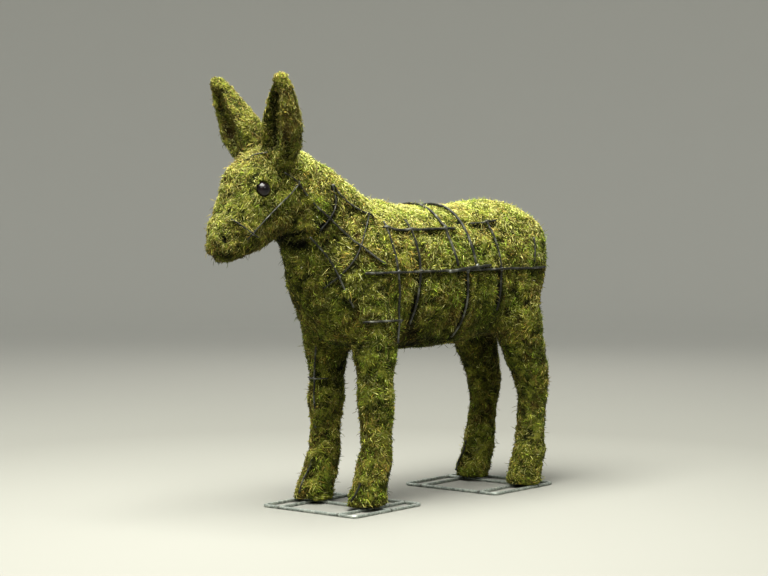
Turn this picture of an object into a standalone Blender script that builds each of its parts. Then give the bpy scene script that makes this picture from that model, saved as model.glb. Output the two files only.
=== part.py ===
"""A standing donkey topiary: moss packed on a cage of bent steel rod, on two bar frames laid on the ground.

Metres, +Z up. The donkey faces -Y and its left side is +X. The moss is one mass; every rod is its own object.
"""

import math

import bpy
from mathutils import Euler, Vector
from mathutils.bvhtree import BVHTree
from mathutils.kdtree import KDTree

# Stance
GROUND = -0.009  # level of the ground while the animal is modelled; the last step brings it to zero
FRONT_FOOT_Y = -0.146
HIND_FOOT_Y = 0.428
HALF_TRACK = 0.095  # from the middle plane to the middle of a hoof
RIGHT_STEP = 0.008  # the right foreleg stands this much ahead of the left
EAR_SKEW = 0.004  # the left ear leans back and the right one forwards by this much

# Ground frames, bent from round bar and lying on the ground
BAR = 0.008
CROSS_BAR = 0.0078
FRAME_WIDTH = 0.306
FRAME_LENGTH = 0.268
FRAME_BEND = 0.011
HOOF_BAR_X = 0.096
FRAME_TURN = math.radians(7.0)  # both frames lie a little askew under the animal
FRONT_FRAME = (0.010, -0.154)  # middle of the frame under the forelegs
REAR_FRAME = (-0.010, 0.368)

# Moss
SOLE_HEIGHT = GROUND + 0.0083  # the hooves stand on the bars
VOXEL = 0.010
MOSS_SMOOTHING = 5
MOSS_KEPT = 0.093  # share of the fine mesh's triangles that stays
SECTION_SIDES = 28

# Eyes
EYE_DIAMETER = 0.037
EYE_CENTRE = Vector((0.0640, -0.460, 0.785))

# Rods of the cage
BAR_SADDLE = 0.0075
ROD_HOOP = 0.0066
ROD_RAIL = 0.0058
ROD_RIB = 0.0052
ROD_NECK = 0.0045
WIRE = 0.0034
AXIS_Z = 0.575  # the barrel's middle
RAIL_Z = 0.581
SADDLE_Z = 0.594

# How rods lie on the moss and over each other
FIT_GAP = 0.0003
LIFT = 0.0015  # clear of the moss, so that straight lengths between bends still miss it
CROSSING_GAP = 0.0015
LAY_STEP = 0.004
LAY_ROUNDS = 14
BEND_TOLERANCE = 0.0010


# ---------------------------------------------------------------- materials


def material(name, colour, roughness, metallic=0.0):
    made = bpy.data.materials.new(name)
    made.use_nodes = True
    shader = made.node_tree.nodes["Principled BSDF"]
    shader.inputs["Base Color"].default_value = (*colour, 1.0)
    shader.inputs["Roughness"].default_value = roughness
    shader.inputs["Metallic"].default_value = metallic
    return made


# ---------------------------------------------------------------- curves through points


def smooth_between(a, b, c, d, t):
    """A value between b and c, at share t, on the smooth curve through all four."""
    return (2 * b + (c - a) * t + (2 * a - 5 * b + 4 * c - d) * t**2 + (3 * b - a - 3 * c + d) * t**3) / 2


def catmull_rom(points, steps):
    """Points on a smooth curve through the given tuples, steps to each span."""
    points = [tuple(p) for p in points]
    padded = [points[0]] + points + [points[-1]]
    made = []
    for i in range(len(points) - 1):
        before, start, end, after = padded[i : i + 4]
        for k in range(steps):
            made.append(tuple(smooth_between(*values, k / steps) for values in zip(before, start, end, after)))
    return made + [points[-1]]


def along_path(points, spacing):
    """The same path as points about this far apart."""
    made = [points[0].copy()]
    for start, end in zip(points, points[1:]):
        count = max(1, round((end - start).length / spacing))
        made += [start.lerp(end, (k + 1) / count) for k in range(count)]
    return made


def simplified(points, tolerance):
    """Drops the points that lie within tolerance of the line between the ones kept."""
    start, end = points[0], points[-1]
    chord = end - start
    worst, index = 0.0, 0
    for i, p in enumerate(points[1:-1], 1):
        t = max(0.0, min(1.0, (p - start).dot(chord) / max(chord.length_squared, 1e-12)))
        away = (p - start.lerp(end, t)).length
        if away > worst:
            worst, index = away, i
    if worst <= tolerance:
        return [start, end]
    return simplified(points[: index + 1], tolerance)[:-1] + simplified(points[index:], tolerance)


# ---------------------------------------------------------------- skins


def oval(half_width, half_depth, power):
    """A superellipse outline as (across, along) pairs."""
    outline = []
    for i in range(SECTION_SIDES):
        t = 2 * math.pi * i / SECTION_SIDES
        c, s = math.cos(t), math.sin(t)
        outline.append(
            (
                half_width * math.copysign(abs(c) ** (2 / power), c),
                half_depth * math.copysign(abs(s) ** (2 / power), s),
            )
        )
    return outline


def skin(rings):
    """(vertices, faces) of a closed tube over rings of equal count."""
    vertices = [v for ring in rings for v in ring]
    count = len(rings[0])
    faces = [
        (r * count + i, r * count + (i + 1) % count, (r + 1) * count + (i + 1) % count, (r + 1) * count + i)
        for r in range(len(rings) - 1)
        for i in range(count)
    ]
    faces.append(tuple(reversed(range(count))))
    faces.append(tuple(range((len(rings) - 1) * count, len(rings) * count)))
    return vertices, faces


def limb(stations, across, power=2.0, steps=3):
    """A tube through stations of (x, y, z, half width, half depth); its sections stand square to its path."""
    fine = catmull_rom(stations, steps)
    centres = [Vector(s[:3]) for s in fine]
    rings = []
    for i, (*_, half_width, half_depth) in enumerate(fine):
        heading = (centres[min(i + 1, len(fine) - 1)] - centres[max(i - 1, 0)]).normalized()
        along = heading.cross(across).normalized()
        side = along.cross(heading)
        outline = oval(half_width, half_depth, power)
        rings.append([centres[i] + side * u + along * v for u, v in outline])
    return skin(rings)


def mesh_object(name, shells, made_of):
    """One object that holds the given closed shells."""
    vertices, faces = [], []
    for shell_vertices, shell_faces in shells:
        start = len(vertices)
        vertices += shell_vertices
        faces += [tuple(start + i for i in face) for face in shell_faces]
    mesh = bpy.data.meshes.new(name)
    mesh.from_pydata(vertices, [], faces)
    mesh.update()
    mesh.materials.append(made_of)
    made = bpy.data.objects.new(name, mesh)
    bpy.context.scene.collection.objects.link(made)
    return made


def face_out(made):
    """Turns every shell's faces outwards."""
    bpy.context.view_layer.objects.active = made
    made.select_set(True)
    bpy.ops.object.mode_set(mode="EDIT")
    bpy.ops.mesh.select_all(action="SELECT")
    bpy.ops.mesh.normals_make_consistent(inside=False)
    bpy.ops.object.mode_set(mode="OBJECT")
    made.select_set(False)


# ---------------------------------------------------------------- the moss animal


def torso():
    """Barrel, chest and rump: (y, top, underside, half width), chest first."""
    profile = [
        (-0.264, 0.600, 0.515, 0.034),
        (-0.252, 0.650, 0.460, 0.078),
        (-0.222, 0.700, 0.418, 0.110),
        (-0.170, 0.730, 0.392, 0.130),
        (-0.108, 0.746, 0.384, 0.137),
        (-0.038, 0.757, 0.379, 0.140),
        (0.050, 0.749, 0.378, 0.143),
        (0.140, 0.748, 0.378, 0.145),
        (0.215, 0.746, 0.383, 0.146),
        (0.285, 0.754, 0.393, 0.145),
        (0.362, 0.761, 0.402, 0.143),
        (0.430, 0.755, 0.414, 0.136),
        (0.488, 0.728, 0.434, 0.118),
        (0.526, 0.682, 0.465, 0.088),
        (0.545, 0.630, 0.520, 0.048),
    ]
    stations = [(0.0, y, (top + low) / 2, width, (top - low) / 2) for y, top, low, width in profile]
    return limb(stations, Vector((1, 0, 0)), power=2.15)


def between(lines, power=2.0):
    """A midline tube given by its upper and lower edge: (upper y, upper z, lower y, lower z, half width)."""
    stations = []
    for upper_y, upper_z, lower_y, lower_z, half_width in lines:
        depth = math.hypot(upper_y - lower_y, upper_z - lower_z)
        stations.append((0.0, (upper_y + lower_y) / 2, (upper_z + lower_z) / 2, half_width, depth / 2))
    return limb(stations, Vector((1, 0, 0)), power=power)


def neck():
    """From the shoulders up to the poll, crest first, throat second."""
    return between(
        [
            (0.030, 0.736, -0.190, 0.440, 0.110),
            (-0.058, 0.768, -0.236, 0.464, 0.112),
            (-0.138, 0.808, -0.288, 0.572, 0.092),
            (-0.218, 0.852, -0.340, 0.645, 0.077),
            (-0.288, 0.885, -0.366, 0.700, 0.068),
            (-0.350, 0.893, -0.392, 0.732, 0.060),
        ]
    )


def head():
    """Skull, cheeks and muzzle, face line first, jaw line second."""
    return between(
        [
            (-0.392, 0.904, -0.336, 0.806, 0.046),
            (-0.436, 0.894, -0.330, 0.754, 0.068),
            (-0.480, 0.850, -0.340, 0.704, 0.081),
            (-0.502, 0.790, -0.390, 0.662, 0.077),
            (-0.534, 0.736, -0.446, 0.636, 0.068),
            (-0.554, 0.692, -0.490, 0.622, 0.057),
            (-0.562, 0.658, -0.520, 0.611, 0.048),
            (-0.562, 0.638, -0.544, 0.615, 0.030),
        ],
        power=2.5,
    )


def foreleg(side):
    """Shoulder, knee, fetlock and hoof: (z, y, half width, half depth), from the top."""
    profile = [
        (0.560, -0.150, 0.044, 0.074),
        (0.500, -0.132, 0.054, 0.078),
        (0.459, -0.114, 0.058, 0.074),
        (0.401, -0.113, 0.057, 0.066),
        (0.360, -0.111, 0.051, 0.056),
        (0.320, -0.111, 0.046, 0.048),
        (0.290, -0.111, 0.045, 0.046),
        (0.262, -0.113, 0.048, 0.050),
        (0.228, -0.112, 0.043, 0.044),
        (0.190, -0.112, 0.040, 0.041),
        (0.150, -0.113, 0.040, 0.041),
        (0.112, -0.118, 0.043, 0.045),
        (0.090, -0.123, 0.044, 0.046),
        (0.062, -0.132, 0.043, 0.045),
        (0.036, -0.143, 0.045, 0.049),
        (0.006, -0.149, 0.047, 0.055),
        (-0.026, -0.151, 0.047, 0.056),
    ]
    if side < 0:
        profile = [(z, y - RIGHT_STEP, half_width, half_depth) for z, y, half_width, half_depth in profile]
    return leg(profile, side, 0.080)


def hind_leg(side):
    """Thigh, hock, fetlock and hoof, from the top."""
    profile = [
        (0.600, 0.385, 0.045, 0.080),
        (0.520, 0.394, 0.056, 0.092),
        (0.460, 0.406, 0.058, 0.086),
        (0.425, 0.420, 0.057, 0.074),
        (0.372, 0.437, 0.052, 0.063),
        (0.337, 0.449, 0.049, 0.059),
        (0.305, 0.462, 0.046, 0.055),
        (0.275, 0.470, 0.044, 0.052),
        (0.250, 0.472, 0.042, 0.046),
        (0.222, 0.471, 0.040, 0.041),
        (0.190, 0.466, 0.038, 0.039),
        (0.150, 0.462, 0.038, 0.038),
        (0.118, 0.458, 0.041, 0.042),
        (0.091, 0.453, 0.044, 0.045),
        (0.064, 0.445, 0.043, 0.044),
        (0.038, 0.436, 0.044, 0.045),
        (0.006, 0.430, 0.046, 0.050),
        (-0.026, 0.429, 0.046, 0.050),
    ]
    return leg(profile, side, 0.082)


def leg(profile, side, top_x):
    """One leg of the given side, leaning from top_x at the body out to the track."""
    top, low = profile[0][0], profile[-1][0]
    stations = []
    for z, y, half_width, half_depth in profile:
        x = HALF_TRACK + (top_x - HALF_TRACK) * max(0.0, (z - low) / (top - low))
        stations.append((side * x, y, z, half_width, half_depth))
    return limb(stations, Vector((1, 0, 0)), steps=2)


def tail():
    """Lies against the rump."""
    return limb(
        [
            (0.0, 0.510, 0.716, 0.020, 0.020),
            (0.0, 0.538, 0.680, 0.024, 0.022),
            (0.0, 0.552, 0.625, 0.023, 0.021),
            (0.0, 0.556, 0.560, 0.022, 0.020),
            (0.0, 0.552, 0.480, 0.024, 0.022),
            (0.0, 0.546, 0.410, 0.027, 0.024),
            (0.0, 0.540, 0.360, 0.021, 0.018),
            (0.0, 0.538, 0.335, 0.009, 0.009),
        ],
        Vector((1, 0, 0)),
    )


def ear(side):
    """A deep cupped leaf that leans outwards and forwards, open to the front."""
    root = Vector((side * 0.046, -0.384, 0.850))
    tip = Vector((side * 0.122, -0.457 + side * EAR_SKEW, 1.064))
    lean = (tip - root).normalized()
    facing = Vector((side * 0.10, -1.0, 0.0))  # the way the cup opens
    back = -(facing - lean * facing.dot(lean)).normalized()
    across = lean.cross(back)
    profile = [  # share of the length, half width, half depth, depth of the cup
        (0.00, 0.034, 0.036, 0.000),
        (0.13, 0.043, 0.045, 0.004),
        (0.26, 0.050, 0.052, 0.034),
        (0.40, 0.050, 0.053, 0.048),
        (0.54, 0.044, 0.047, 0.046),
        (0.68, 0.037, 0.040, 0.036),
        (0.82, 0.029, 0.031, 0.020),
        (0.94, 0.020, 0.021, 0.004),
        (1.00, 0.008, 0.010, 0.000),
    ]
    rings = []
    for share, half_width, half_depth, cup in catmull_rom(profile, 2):
        centre = root.lerp(tip, share)
        ring = []
        for u, v in oval(half_width, half_depth, 2.3):
            if v < 0:
                v += cup * math.exp(-((u / (0.52 * half_width)) ** 4))
            ring.append(centre + across * u + back * v)
        rings.append(ring)
    return skin(rings)


def moss_body(moss):
    """All of the moss as one mass: overlapping limbs are fused on a fine grid, smoothed and thinned."""
    shells = [torso(), neck(), head(), tail()]
    for side in (-1, 1):
        shells += [foreleg(side), hind_leg(side), ear(side)]
    body = mesh_object("moss_body", shells, moss)
    face_out(body)
    fuse = body.modifiers.new("fuse", "REMESH")
    fuse.mode = "VOXEL"
    fuse.voxel_size = VOXEL
    smooth = body.modifiers.new("smooth", "SMOOTH")
    smooth.iterations = MOSS_SMOOTHING
    thin = body.modifiers.new("thin", "DECIMATE")
    thin.ratio = MOSS_KEPT
    body.data.shade_smooth()
    return body


def cutter(made):
    made.hide_render = True
    made.display_type = "WIRE"
    return made


def cut(body, tool):
    """Takes the tool's shape out of the body."""
    change = body.modifiers.new("cut " + tool.name, "BOOLEAN")
    change.operation = "DIFFERENCE"
    change.object = cutter(tool)


def ball(name, centre, radius, made_of):
    bpy.ops.mesh.primitive_uv_sphere_add(segments=14, ring_count=8, radius=radius, location=centre)
    made = bpy.context.active_object
    made.name = name
    made.data.materials.append(made_of)
    made.data.shade_smooth()
    return made


def eyes(body, glass):
    """Two glass balls, each in a socket in the moss."""
    for side, name in ((1, "eye_left"), (-1, "eye_right")):
        centre = Vector((side * EYE_CENTRE.x, EYE_CENTRE.y, EYE_CENTRE.z))
        ball(name, centre, EYE_DIAMETER / 2, glass)
        cut(body, ball(name + "_socket", centre, EYE_DIAMETER / 2 + 2 * FIT_GAP, glass))


def level_soles(body, steel):
    """Cuts the hooves off flat, just above the cross bars."""
    depth = 0.10
    bpy.ops.mesh.primitive_cube_add(size=1.0, location=(0.0, 0.14, SOLE_HEIGHT - depth / 2))
    block = bpy.context.active_object
    block.name = "sole_level"
    block.scale = (0.6, 1.2, depth)
    block.data.materials.append(steel)
    cut(body, block)


# ---------------------------------------------------------------- bars on the ground


def bar_curve(name, points, across_flats, made_of, closed=False):
    """Straight and bent bar with eight flats, one of them underneath."""
    curve = bpy.data.curves.new(name, "CURVE")
    curve.dimensions = "3D"
    curve.twist_mode = "Z_UP"
    curve.bevel_depth = across_flats / 2 / math.cos(math.pi / 8)
    curve.bevel_resolution = 2
    curve.use_fill_caps = True
    curve.materials.append(made_of)
    spline = curve.splines.new("POLY")
    spline.points.add(len(points) - 1)
    for place, p in zip(spline.points, points):
        place.co = (*p, 1.0)
        place.tilt = math.pi / 8
    spline.use_cyclic_u = closed
    made = bpy.data.objects.new(name, curve)
    bpy.context.scene.collection.objects.link(made)
    return made


def as_mesh(made):
    """The same object as a mesh, for a Boolean."""
    name = made.name
    graph = bpy.context.evaluated_depsgraph_get()
    mesh = bpy.data.meshes.new_from_object(made.evaluated_get(graph))
    bpy.data.objects.remove(made)
    solid = bpy.data.objects.new(name, mesh)
    bpy.context.scene.collection.objects.link(solid)
    return solid


def ground_frame(name, middle, cross_y, steel):
    """A rounded rectangle of bar with one bar across and two along under the hooves, welded into one."""
    half_x = (FRAME_WIDTH - BAR) / 2
    half_y = (FRAME_LENGTH - BAR) / 2
    cross = cross_y - middle[1]
    outline = []

    def laid(x, y):
        """The place on the ground of a point in the frame's own directions."""
        turned = Vector((x, y, 0.0))
        turned.rotate(Euler((0.0, 0.0, FRAME_TURN)))
        return turned + Vector((*middle, GROUND + BAR / 2))

    corners = ((1, 1, 0.0), (-1, 1, 0.5), (-1, -1, 1.0), (1, -1, 1.5))
    for sign_x, sign_y, turn in corners:
        for k in range(3):
            t = math.pi * (turn + k / 4)
            x = sign_x * (half_x - FRAME_BEND) + FRAME_BEND * math.cos(t)
            y = sign_y * (half_y - FRAME_BEND) + FRAME_BEND * math.sin(t)
            outline.append(laid(x, y))
    frame = as_mesh(bar_curve(name, outline, BAR, steel, closed=True))
    inner = [(laid(-half_x, cross), laid(half_x, cross))]
    for x in (-HOOF_BAR_X, HOOF_BAR_X):
        inner.append((laid(x, -half_y), laid(x, half_y)))
    for i, ends in enumerate(inner):
        weld = frame.modifiers.new("weld", "BOOLEAN")
        weld.operation = "UNION"
        weld.object = cutter(as_mesh(bar_curve(f"{name}_inner_bar_{i}", ends, CROSS_BAR - 0.0002 * i, steel)))
    return frame


# ---------------------------------------------------------------- rods on the moss


class Cage:
    """Lays rods over the moss, each one clear of the moss and of the rods already laid."""

    def __init__(self, body, steel):
        self.surface = BVHTree.FromObject(body, bpy.context.evaluated_depsgraph_get())
        self.steel = steel
        self.laid = []  # (centre line as close points, radius)

    def seen_from(self, start, heading):
        """Where a straight line into the moss meets it."""
        place = self.surface.ray_cast(start, heading)[0]
        return place if place else self.surface.find_nearest(start + heading * 0.25)[0]

    def flank(self, side, profile):
        """Surface points at the given (y, z) on one side of the animal."""
        return [self.seen_from(Vector((side * 0.4, y, z)), Vector((-side, 0, 0))) for y, z in profile]

    def front(self, profile, start_y):
        """Surface points at the given (x, z), looking back from start_y."""
        return [self.seen_from(Vector((x, start_y, z)), Vector((0, 1, 0))) for x, z in profile]

    def over_back(self, top_y, low_y, low_z):
        """Surface points from one side over the back to the other, in a plane that may lean."""
        made = []
        reach = 0.40
        low = math.acos((low_z - AXIS_Z) / 0.155)
        for k in range(-10, 11):
            t = low * k / 10
            heading = Vector((math.sin(t), 0.0, math.cos(t)))
            y = top_y + (low_y - top_y) * (k / 10) ** 2
            made.append(self.seen_from(Vector((0, y, AXIS_Z)) + heading * reach, -heading))
        return made

    def lifted(self, p, radius):
        """The nearest place to p where a rod clears the moss and the rods under it."""
        place, normal, _, away = self.surface.find_nearest(p)
        clear = radius + LIFT
        outside = (p - place).dot(normal) > 0
        if not outside or away < clear:
            outward = (p - place) / away if outside and away > 1e-6 else normal
            p = place + outward * clear
        for tree, other in self.laid:
            near, _, gap = tree.find(p)
            wanted = radius + other + CROSSING_GAP
            if gap < wanted:
                aside = p - near
                rise = aside.dot(normal)
                level = (aside - normal * rise).length
                p = p + normal * (math.sqrt(max(0.0, wanted**2 - level**2)) - rise)
        return p

    def drape(self, guide, radius):
        """The guide as a taut rod on the surface."""
        path = along_path([Vector(p) for p in catmull_rom(guide, 8)], LAY_STEP)
        for _ in range(LAY_ROUNDS):
            last = len(path) - 1
            eased = [
                path[i] if i in (0, last) else (path[i - 1] + path[i] * 2 + path[i + 1]) / 4
                for i in range(len(path))
            ]
            path = [self.lifted(p, radius) for p in eased]
        return path

    def rod(self, name, guide, diameter):
        """A rod along the guide: six flats, or four on thin wire."""
        radius = diameter / 2
        points = simplified(self.drape(guide, radius), BEND_TOLERANCE)
        curve = bpy.data.curves.new(name, "CURVE")
        curve.dimensions = "3D"
        curve.bevel_depth = radius
        curve.bevel_resolution = 1 if diameter > ROD_NECK else 0
        curve.use_fill_caps = True
        curve.materials.append(self.steel)
        spline = curve.splines.new("POLY")
        spline.points.add(len(points) - 1)
        for place, p in zip(spline.points, points):
            place.co = (*p, 1.0)
        bpy.context.scene.collection.objects.link(bpy.data.objects.new(name, curve))
        close = along_path(points, 0.001)
        tree = KDTree(len(close))
        for i, p in enumerate(close):
            tree.insert(p, i)
        tree.balance()
        self.laid.append((tree, radius))

    def pair(self, name, profile, diameter):
        """The same rod on both flanks."""
        for side, end in ((1, "_left"), (-1, "_right")):
            self.rod(name + end, self.flank(side, profile), diameter)


def barrel_rods(cage):
    """Ribs first, the rails over them, and over those the saddle: two hoops and a thick bar on each side."""
    cage.pair(
        "shoulder_rib",
        [(-0.094, 0.705), (-0.094, 0.660), (-0.088, 0.605), (-0.083, 0.560), (-0.077, 0.510), (-0.079, 0.455)]
        + [(-0.086, 0.405)],
        ROD_RIB,
    )
    cage.pair(
        "girth_rib",
        [(-0.022, 0.708), (-0.018, 0.683), (-0.014, 0.650), (-0.010, 0.610), (-0.012, 0.560), (-0.018, 0.505)]
        + [(-0.023, 0.450)],
        ROD_RIB,
    )
    belly = [(0.155, 0.573), (0.158, 0.540), (0.160, 0.500), (0.159, 0.450), (0.158, 0.410)]
    cage.pair("belly_rib", belly, ROD_RIB)
    cage.pair(
        "loin_rib",
        [(0.268, 0.705), (0.271, 0.675), (0.277, 0.640), (0.282, 0.590), (0.282, 0.530), (0.286, 0.475)],
        ROD_RIB,
    )
    cage.pair("croup_rib", [(0.432, 0.660), (0.428, 0.625), (0.421, 0.596)], ROD_NECK)
    cage.pair("flank_rail", [(y, RAIL_Z) for y in (-0.185, -0.09, 0.0, 0.1, 0.2, 0.3, 0.4, 0.48)], ROD_RAIL)
    back = [(-0.105, 0.690), (-0.060, 0.684), (0.020, 0.684), (0.100, 0.686), (0.142, 0.686)]
    cage.pair("back_rail", back, ROD_RAIL)
    cage.pair("croup_rail", [(0.212, 0.698), (0.258, 0.699), (0.304, 0.705)], ROD_NECK)
    cage.rod("saddle_hoop_front", cage.over_back(0.096, 0.123, SADDLE_Z), ROD_HOOP)
    cage.rod("saddle_hoop_rear", cage.over_back(0.172, 0.188, SADDLE_Z), ROD_HOOP)
    cage.pair("saddle_bar", [(0.083, 0.578), (0.135, 0.584), (0.190, 0.588), (0.242, 0.591)], BAR_SADDLE)


def neck_rods(cage):
    """Two rings round the neck and the rods that run along it."""
    cage.pair("upper_neck_ring", [(-0.241, 0.792), (-0.238, 0.760), (-0.250, 0.731), (-0.287, 0.687)], WIRE)
    cage.pair(
        "lower_neck_ring",
        [(-0.127, 0.728), (-0.150, 0.699), (-0.183, 0.650), (-0.207, 0.614), (-0.240, 0.575)]
        + [(-0.264, 0.546)],
        WIRE,
    )
    cage.pair("crest_rail", [(-0.241, 0.795), (-0.205, 0.757), (-0.165, 0.736), (-0.118, 0.716)], ROD_NECK)
    cage.pair(
        "neck_rail",
        [(-0.400, 0.827), (-0.351, 0.799), (-0.316, 0.760), (-0.274, 0.724), (-0.233, 0.689), (-0.184, 0.645)]
        + [(-0.150, 0.618), (-0.124, 0.601)],
        ROD_NECK,
    )
    cage.pair(
        "throat_rail",
        [(-0.310, 0.671), (-0.288, 0.649), (-0.263, 0.619), (-0.243, 0.578), (-0.229, 0.541)]
        + [(-0.206, 0.498)],
        ROD_NECK,
    )


def head_wires(cage):
    """A wire along each cheek, one over the nose and one across the brow."""
    cheek = [(-0.352, 0.806), (-0.374, 0.782), (-0.411, 0.758), (-0.460, 0.716), (-0.507, 0.668)]
    cage.pair("cheek_wire", cheek, WIRE)
    nose = [(0.065, -0.478, 0.673), (0.064, -0.502, 0.685), (0.056, -0.523, 0.702), (0.037, -0.537, 0.715)]
    nose = nose + [(0.0, -0.545, 0.724)] + [(-x, y, z) for x, y, z in reversed(nose)]
    cage.rod("nose_wire", nose, WIRE)
    cage.rod("brow_wire", [(0.050, -0.432, 0.872), (0.021, -0.457, 0.865), (-0.004, -0.475, 0.853)], WIRE)


def leg_rods(cage):
    """Where the rods inside the legs come through the moss."""
    shin = [(-0.060, 0.392), (-0.071, 0.356), (-0.079, 0.317), (-0.079, 0.284), (-0.078, 0.235)]
    shin.append((-0.081, 0.182))
    cage.rod("fore_shin_rod_right", cage.front(shin, -0.4), ROD_NECK)
    tie = [(-0.106, 0.310), (-0.080, 0.310), (-0.050, 0.310)]
    cage.rod("fore_tie_wire_right", cage.front(tie, -0.4), WIRE)
    cage.pair("shoulder_bar", [(-0.182, 0.462), (-0.120, 0.462), (-0.060, 0.461)], ROD_RIB)
    fore_left = [(0.107, 0.066), (0.105, 0.044), (0.101, 0.028), (0.095, 0.018)]
    fore_right = [(-0.084, 0.113), (-0.082, 0.085), (-0.088, 0.060), (-0.090, 0.018)]
    hind_right = [(-0.096, 0.101), (-0.096, 0.074), (-0.105, 0.048), (-0.112, 0.018)]
    cage.rod("fore_hoof_rod_left", cage.front(fore_left, -0.4), ROD_NECK)
    cage.rod("fore_hoof_rod_right", cage.front(fore_right, -0.4), ROD_NECK)
    cage.rod("hind_hoof_rod_right", cage.front(hind_right, 0.2), ROD_NECK)


def stand_on_origin():
    """Moves everything until the middle of the animal's box stands over the origin, on the ground."""
    bpy.context.view_layer.update()
    graph = bpy.context.evaluated_depsgraph_get()
    everything = list(bpy.context.scene.objects)
    reach = []
    for o in everything:
        if not o.hide_render:
            reach += [(o.matrix_world @ v.co).y for v in o.evaluated_get(graph).to_mesh().vertices]
    for o in everything:
        o.location.y -= (min(reach) + max(reach)) / 2
        o.location.z -= GROUND


def main():
    for old in list(bpy.data.objects):
        bpy.data.objects.remove(old)
    moss = material("moss", (0.30, 0.31, 0.09), 0.95)
    steel = material("rod_steel", (0.045, 0.052, 0.048), 0.45, 0.6)
    glass = material("eye_glass", (0.008, 0.007, 0.009), 0.08)
    body = moss_body(moss)
    level_soles(body, steel)
    eyes(body, glass)
    ground_frame("front_ground_frame", FRONT_FRAME, FRONT_FOOT_Y, steel)
    ground_frame("rear_ground_frame", REAR_FRAME, HIND_FOOT_Y, steel)
    bpy.context.view_layer.update()
    cage = Cage(body, steel)
    barrel_rods(cage)
    neck_rods(cage)
    head_wires(cage)
    leg_rods(cage)
    stand_on_origin()


main()
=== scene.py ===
"""Dresses the mossed donkey topiary.

Sheet moss is packed on a cage of bent steel rod, with two glass eyes, and the
hooves stand on galvanised bar frames that lie on the ground.
"""

from __future__ import annotations

import logging
import math
from collections.abc import Sequence
from dataclasses import dataclass, field
from enum import Enum
from functools import partial

import bmesh
import bpy
import numpy as np
from bpy.types import ID, Material, Mesh, Node, Object
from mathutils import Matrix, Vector
from mathutils.bvhtree import BVHTree
from mathutils.kdtree import KDTree
from numpy.random import Generator, default_rng

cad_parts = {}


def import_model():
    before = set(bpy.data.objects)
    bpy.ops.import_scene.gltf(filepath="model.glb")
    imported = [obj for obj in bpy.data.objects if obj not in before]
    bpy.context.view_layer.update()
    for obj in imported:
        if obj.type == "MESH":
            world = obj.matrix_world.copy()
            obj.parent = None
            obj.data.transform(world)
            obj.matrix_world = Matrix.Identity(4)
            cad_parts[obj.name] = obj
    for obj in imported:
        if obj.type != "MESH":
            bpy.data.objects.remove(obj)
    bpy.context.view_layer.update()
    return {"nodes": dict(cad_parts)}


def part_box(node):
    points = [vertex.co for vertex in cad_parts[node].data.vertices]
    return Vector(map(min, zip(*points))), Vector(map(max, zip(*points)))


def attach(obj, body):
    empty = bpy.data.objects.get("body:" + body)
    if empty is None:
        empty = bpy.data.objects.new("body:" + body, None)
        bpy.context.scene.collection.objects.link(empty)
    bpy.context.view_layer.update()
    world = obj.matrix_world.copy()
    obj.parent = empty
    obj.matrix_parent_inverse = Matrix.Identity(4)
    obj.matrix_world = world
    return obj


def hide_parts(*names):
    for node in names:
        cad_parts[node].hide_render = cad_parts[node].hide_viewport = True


Array = np.ndarray
Eyes = Sequence[tuple[Array, float]]  # the middle and radius of each glass eye

LOG = logging.getLogger("donkey_topiary")
MM = 0.001
BODY = "root"
RAIL_HEIGHT = 0.590  # the rail along each flank
FACE_START = -0.33  # the face lies ahead of this, towards -Y
FACE_SPAN = 0.06
NOSE_START = -0.45


# ------------------------------------------------------------------ small tools


def linear(colour: str) -> tuple[float, float, float, float]:
    """Turns an sRGB hex colour to linear light.

    Args:
        colour: The colour as "#RRGGBB".

    Returns:
        Red, green and blue from 0 to 1, and an alpha of 1.
    """
    shares = [int(colour[i : i + 2], 16) / 255 for i in (1, 3, 5)]
    parts = [c / 12.92 if c <= 0.04045 else ((c + 0.055) / 1.055) ** 2.4 for c in shares]
    return (*parts, 1.0)


def per_metre(size_mm: float) -> float:
    """Gives the texture scale at which one feature measures size_mm."""
    return 1.0 / (size_mm * MM)


def add_node(
    material: Material, kind: str, settings: dict | None = None, links: dict | None = None
) -> Node:
    """Adds one shader node.

    Args:
        material: The material that gets the node.
        kind: The node's type name, after "ShaderNode".
        settings: Values by property name or input socket, and a ramp's "stops".
        links: What feeds each input socket: an output socket, or a node for its first output.

    Returns:
        The new node.
    """
    tree = material.node_tree
    node = tree.nodes.new("ShaderNode" + kind)
    for key, value in (settings or {}).items():
        if key == "stops":
            elements = node.color_ramp.elements
            while len(elements) < len(value):
                elements.new(1.0)
            for element, (place, colour) in zip(elements, value):
                element.position = place
                element.color = linear(colour) if isinstance(colour, str) else (colour,) * 3 + (1.0,)
        elif isinstance(key, str) and hasattr(node, key):
            setattr(node, key, value)
        else:
            node.inputs[key].default_value = value
    for key, source in (links or {}).items():
        tree.links.new(source.outputs[0] if isinstance(source, Node) else source, node.inputs[key])
    return node


def blank_material(name: str) -> tuple[Material, partial]:
    """Makes a material with no nodes yet.

    Args:
        name: The material's name.

    Returns:
        The material, and add_node for it.
    """
    material = bpy.data.materials.new(name)
    material.use_nodes = True
    material.node_tree.nodes.clear()
    return material, partial(add_node, material)


def placed(name: str, data: ID) -> Object:
    """Makes an object and links it to the scene.

    Args:
        name: The object's name.
        data: Its mesh, light or camera.

    Returns:
        The object.
    """
    made = bpy.data.objects.new(name, data)
    bpy.context.scene.collection.objects.link(made)
    return made


def unit(vectors: Array) -> Array:
    """Scales each row to length 1."""
    return vectors / np.maximum(np.linalg.norm(vectors, axis=-1, keepdims=True), 1e-12)


def ramp(values: Array, start: float, span: float) -> Array:
    """Goes from 0 at start to 1 at start + span."""
    return np.clip((values - start) / span, 0.0, 1.0)


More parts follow.
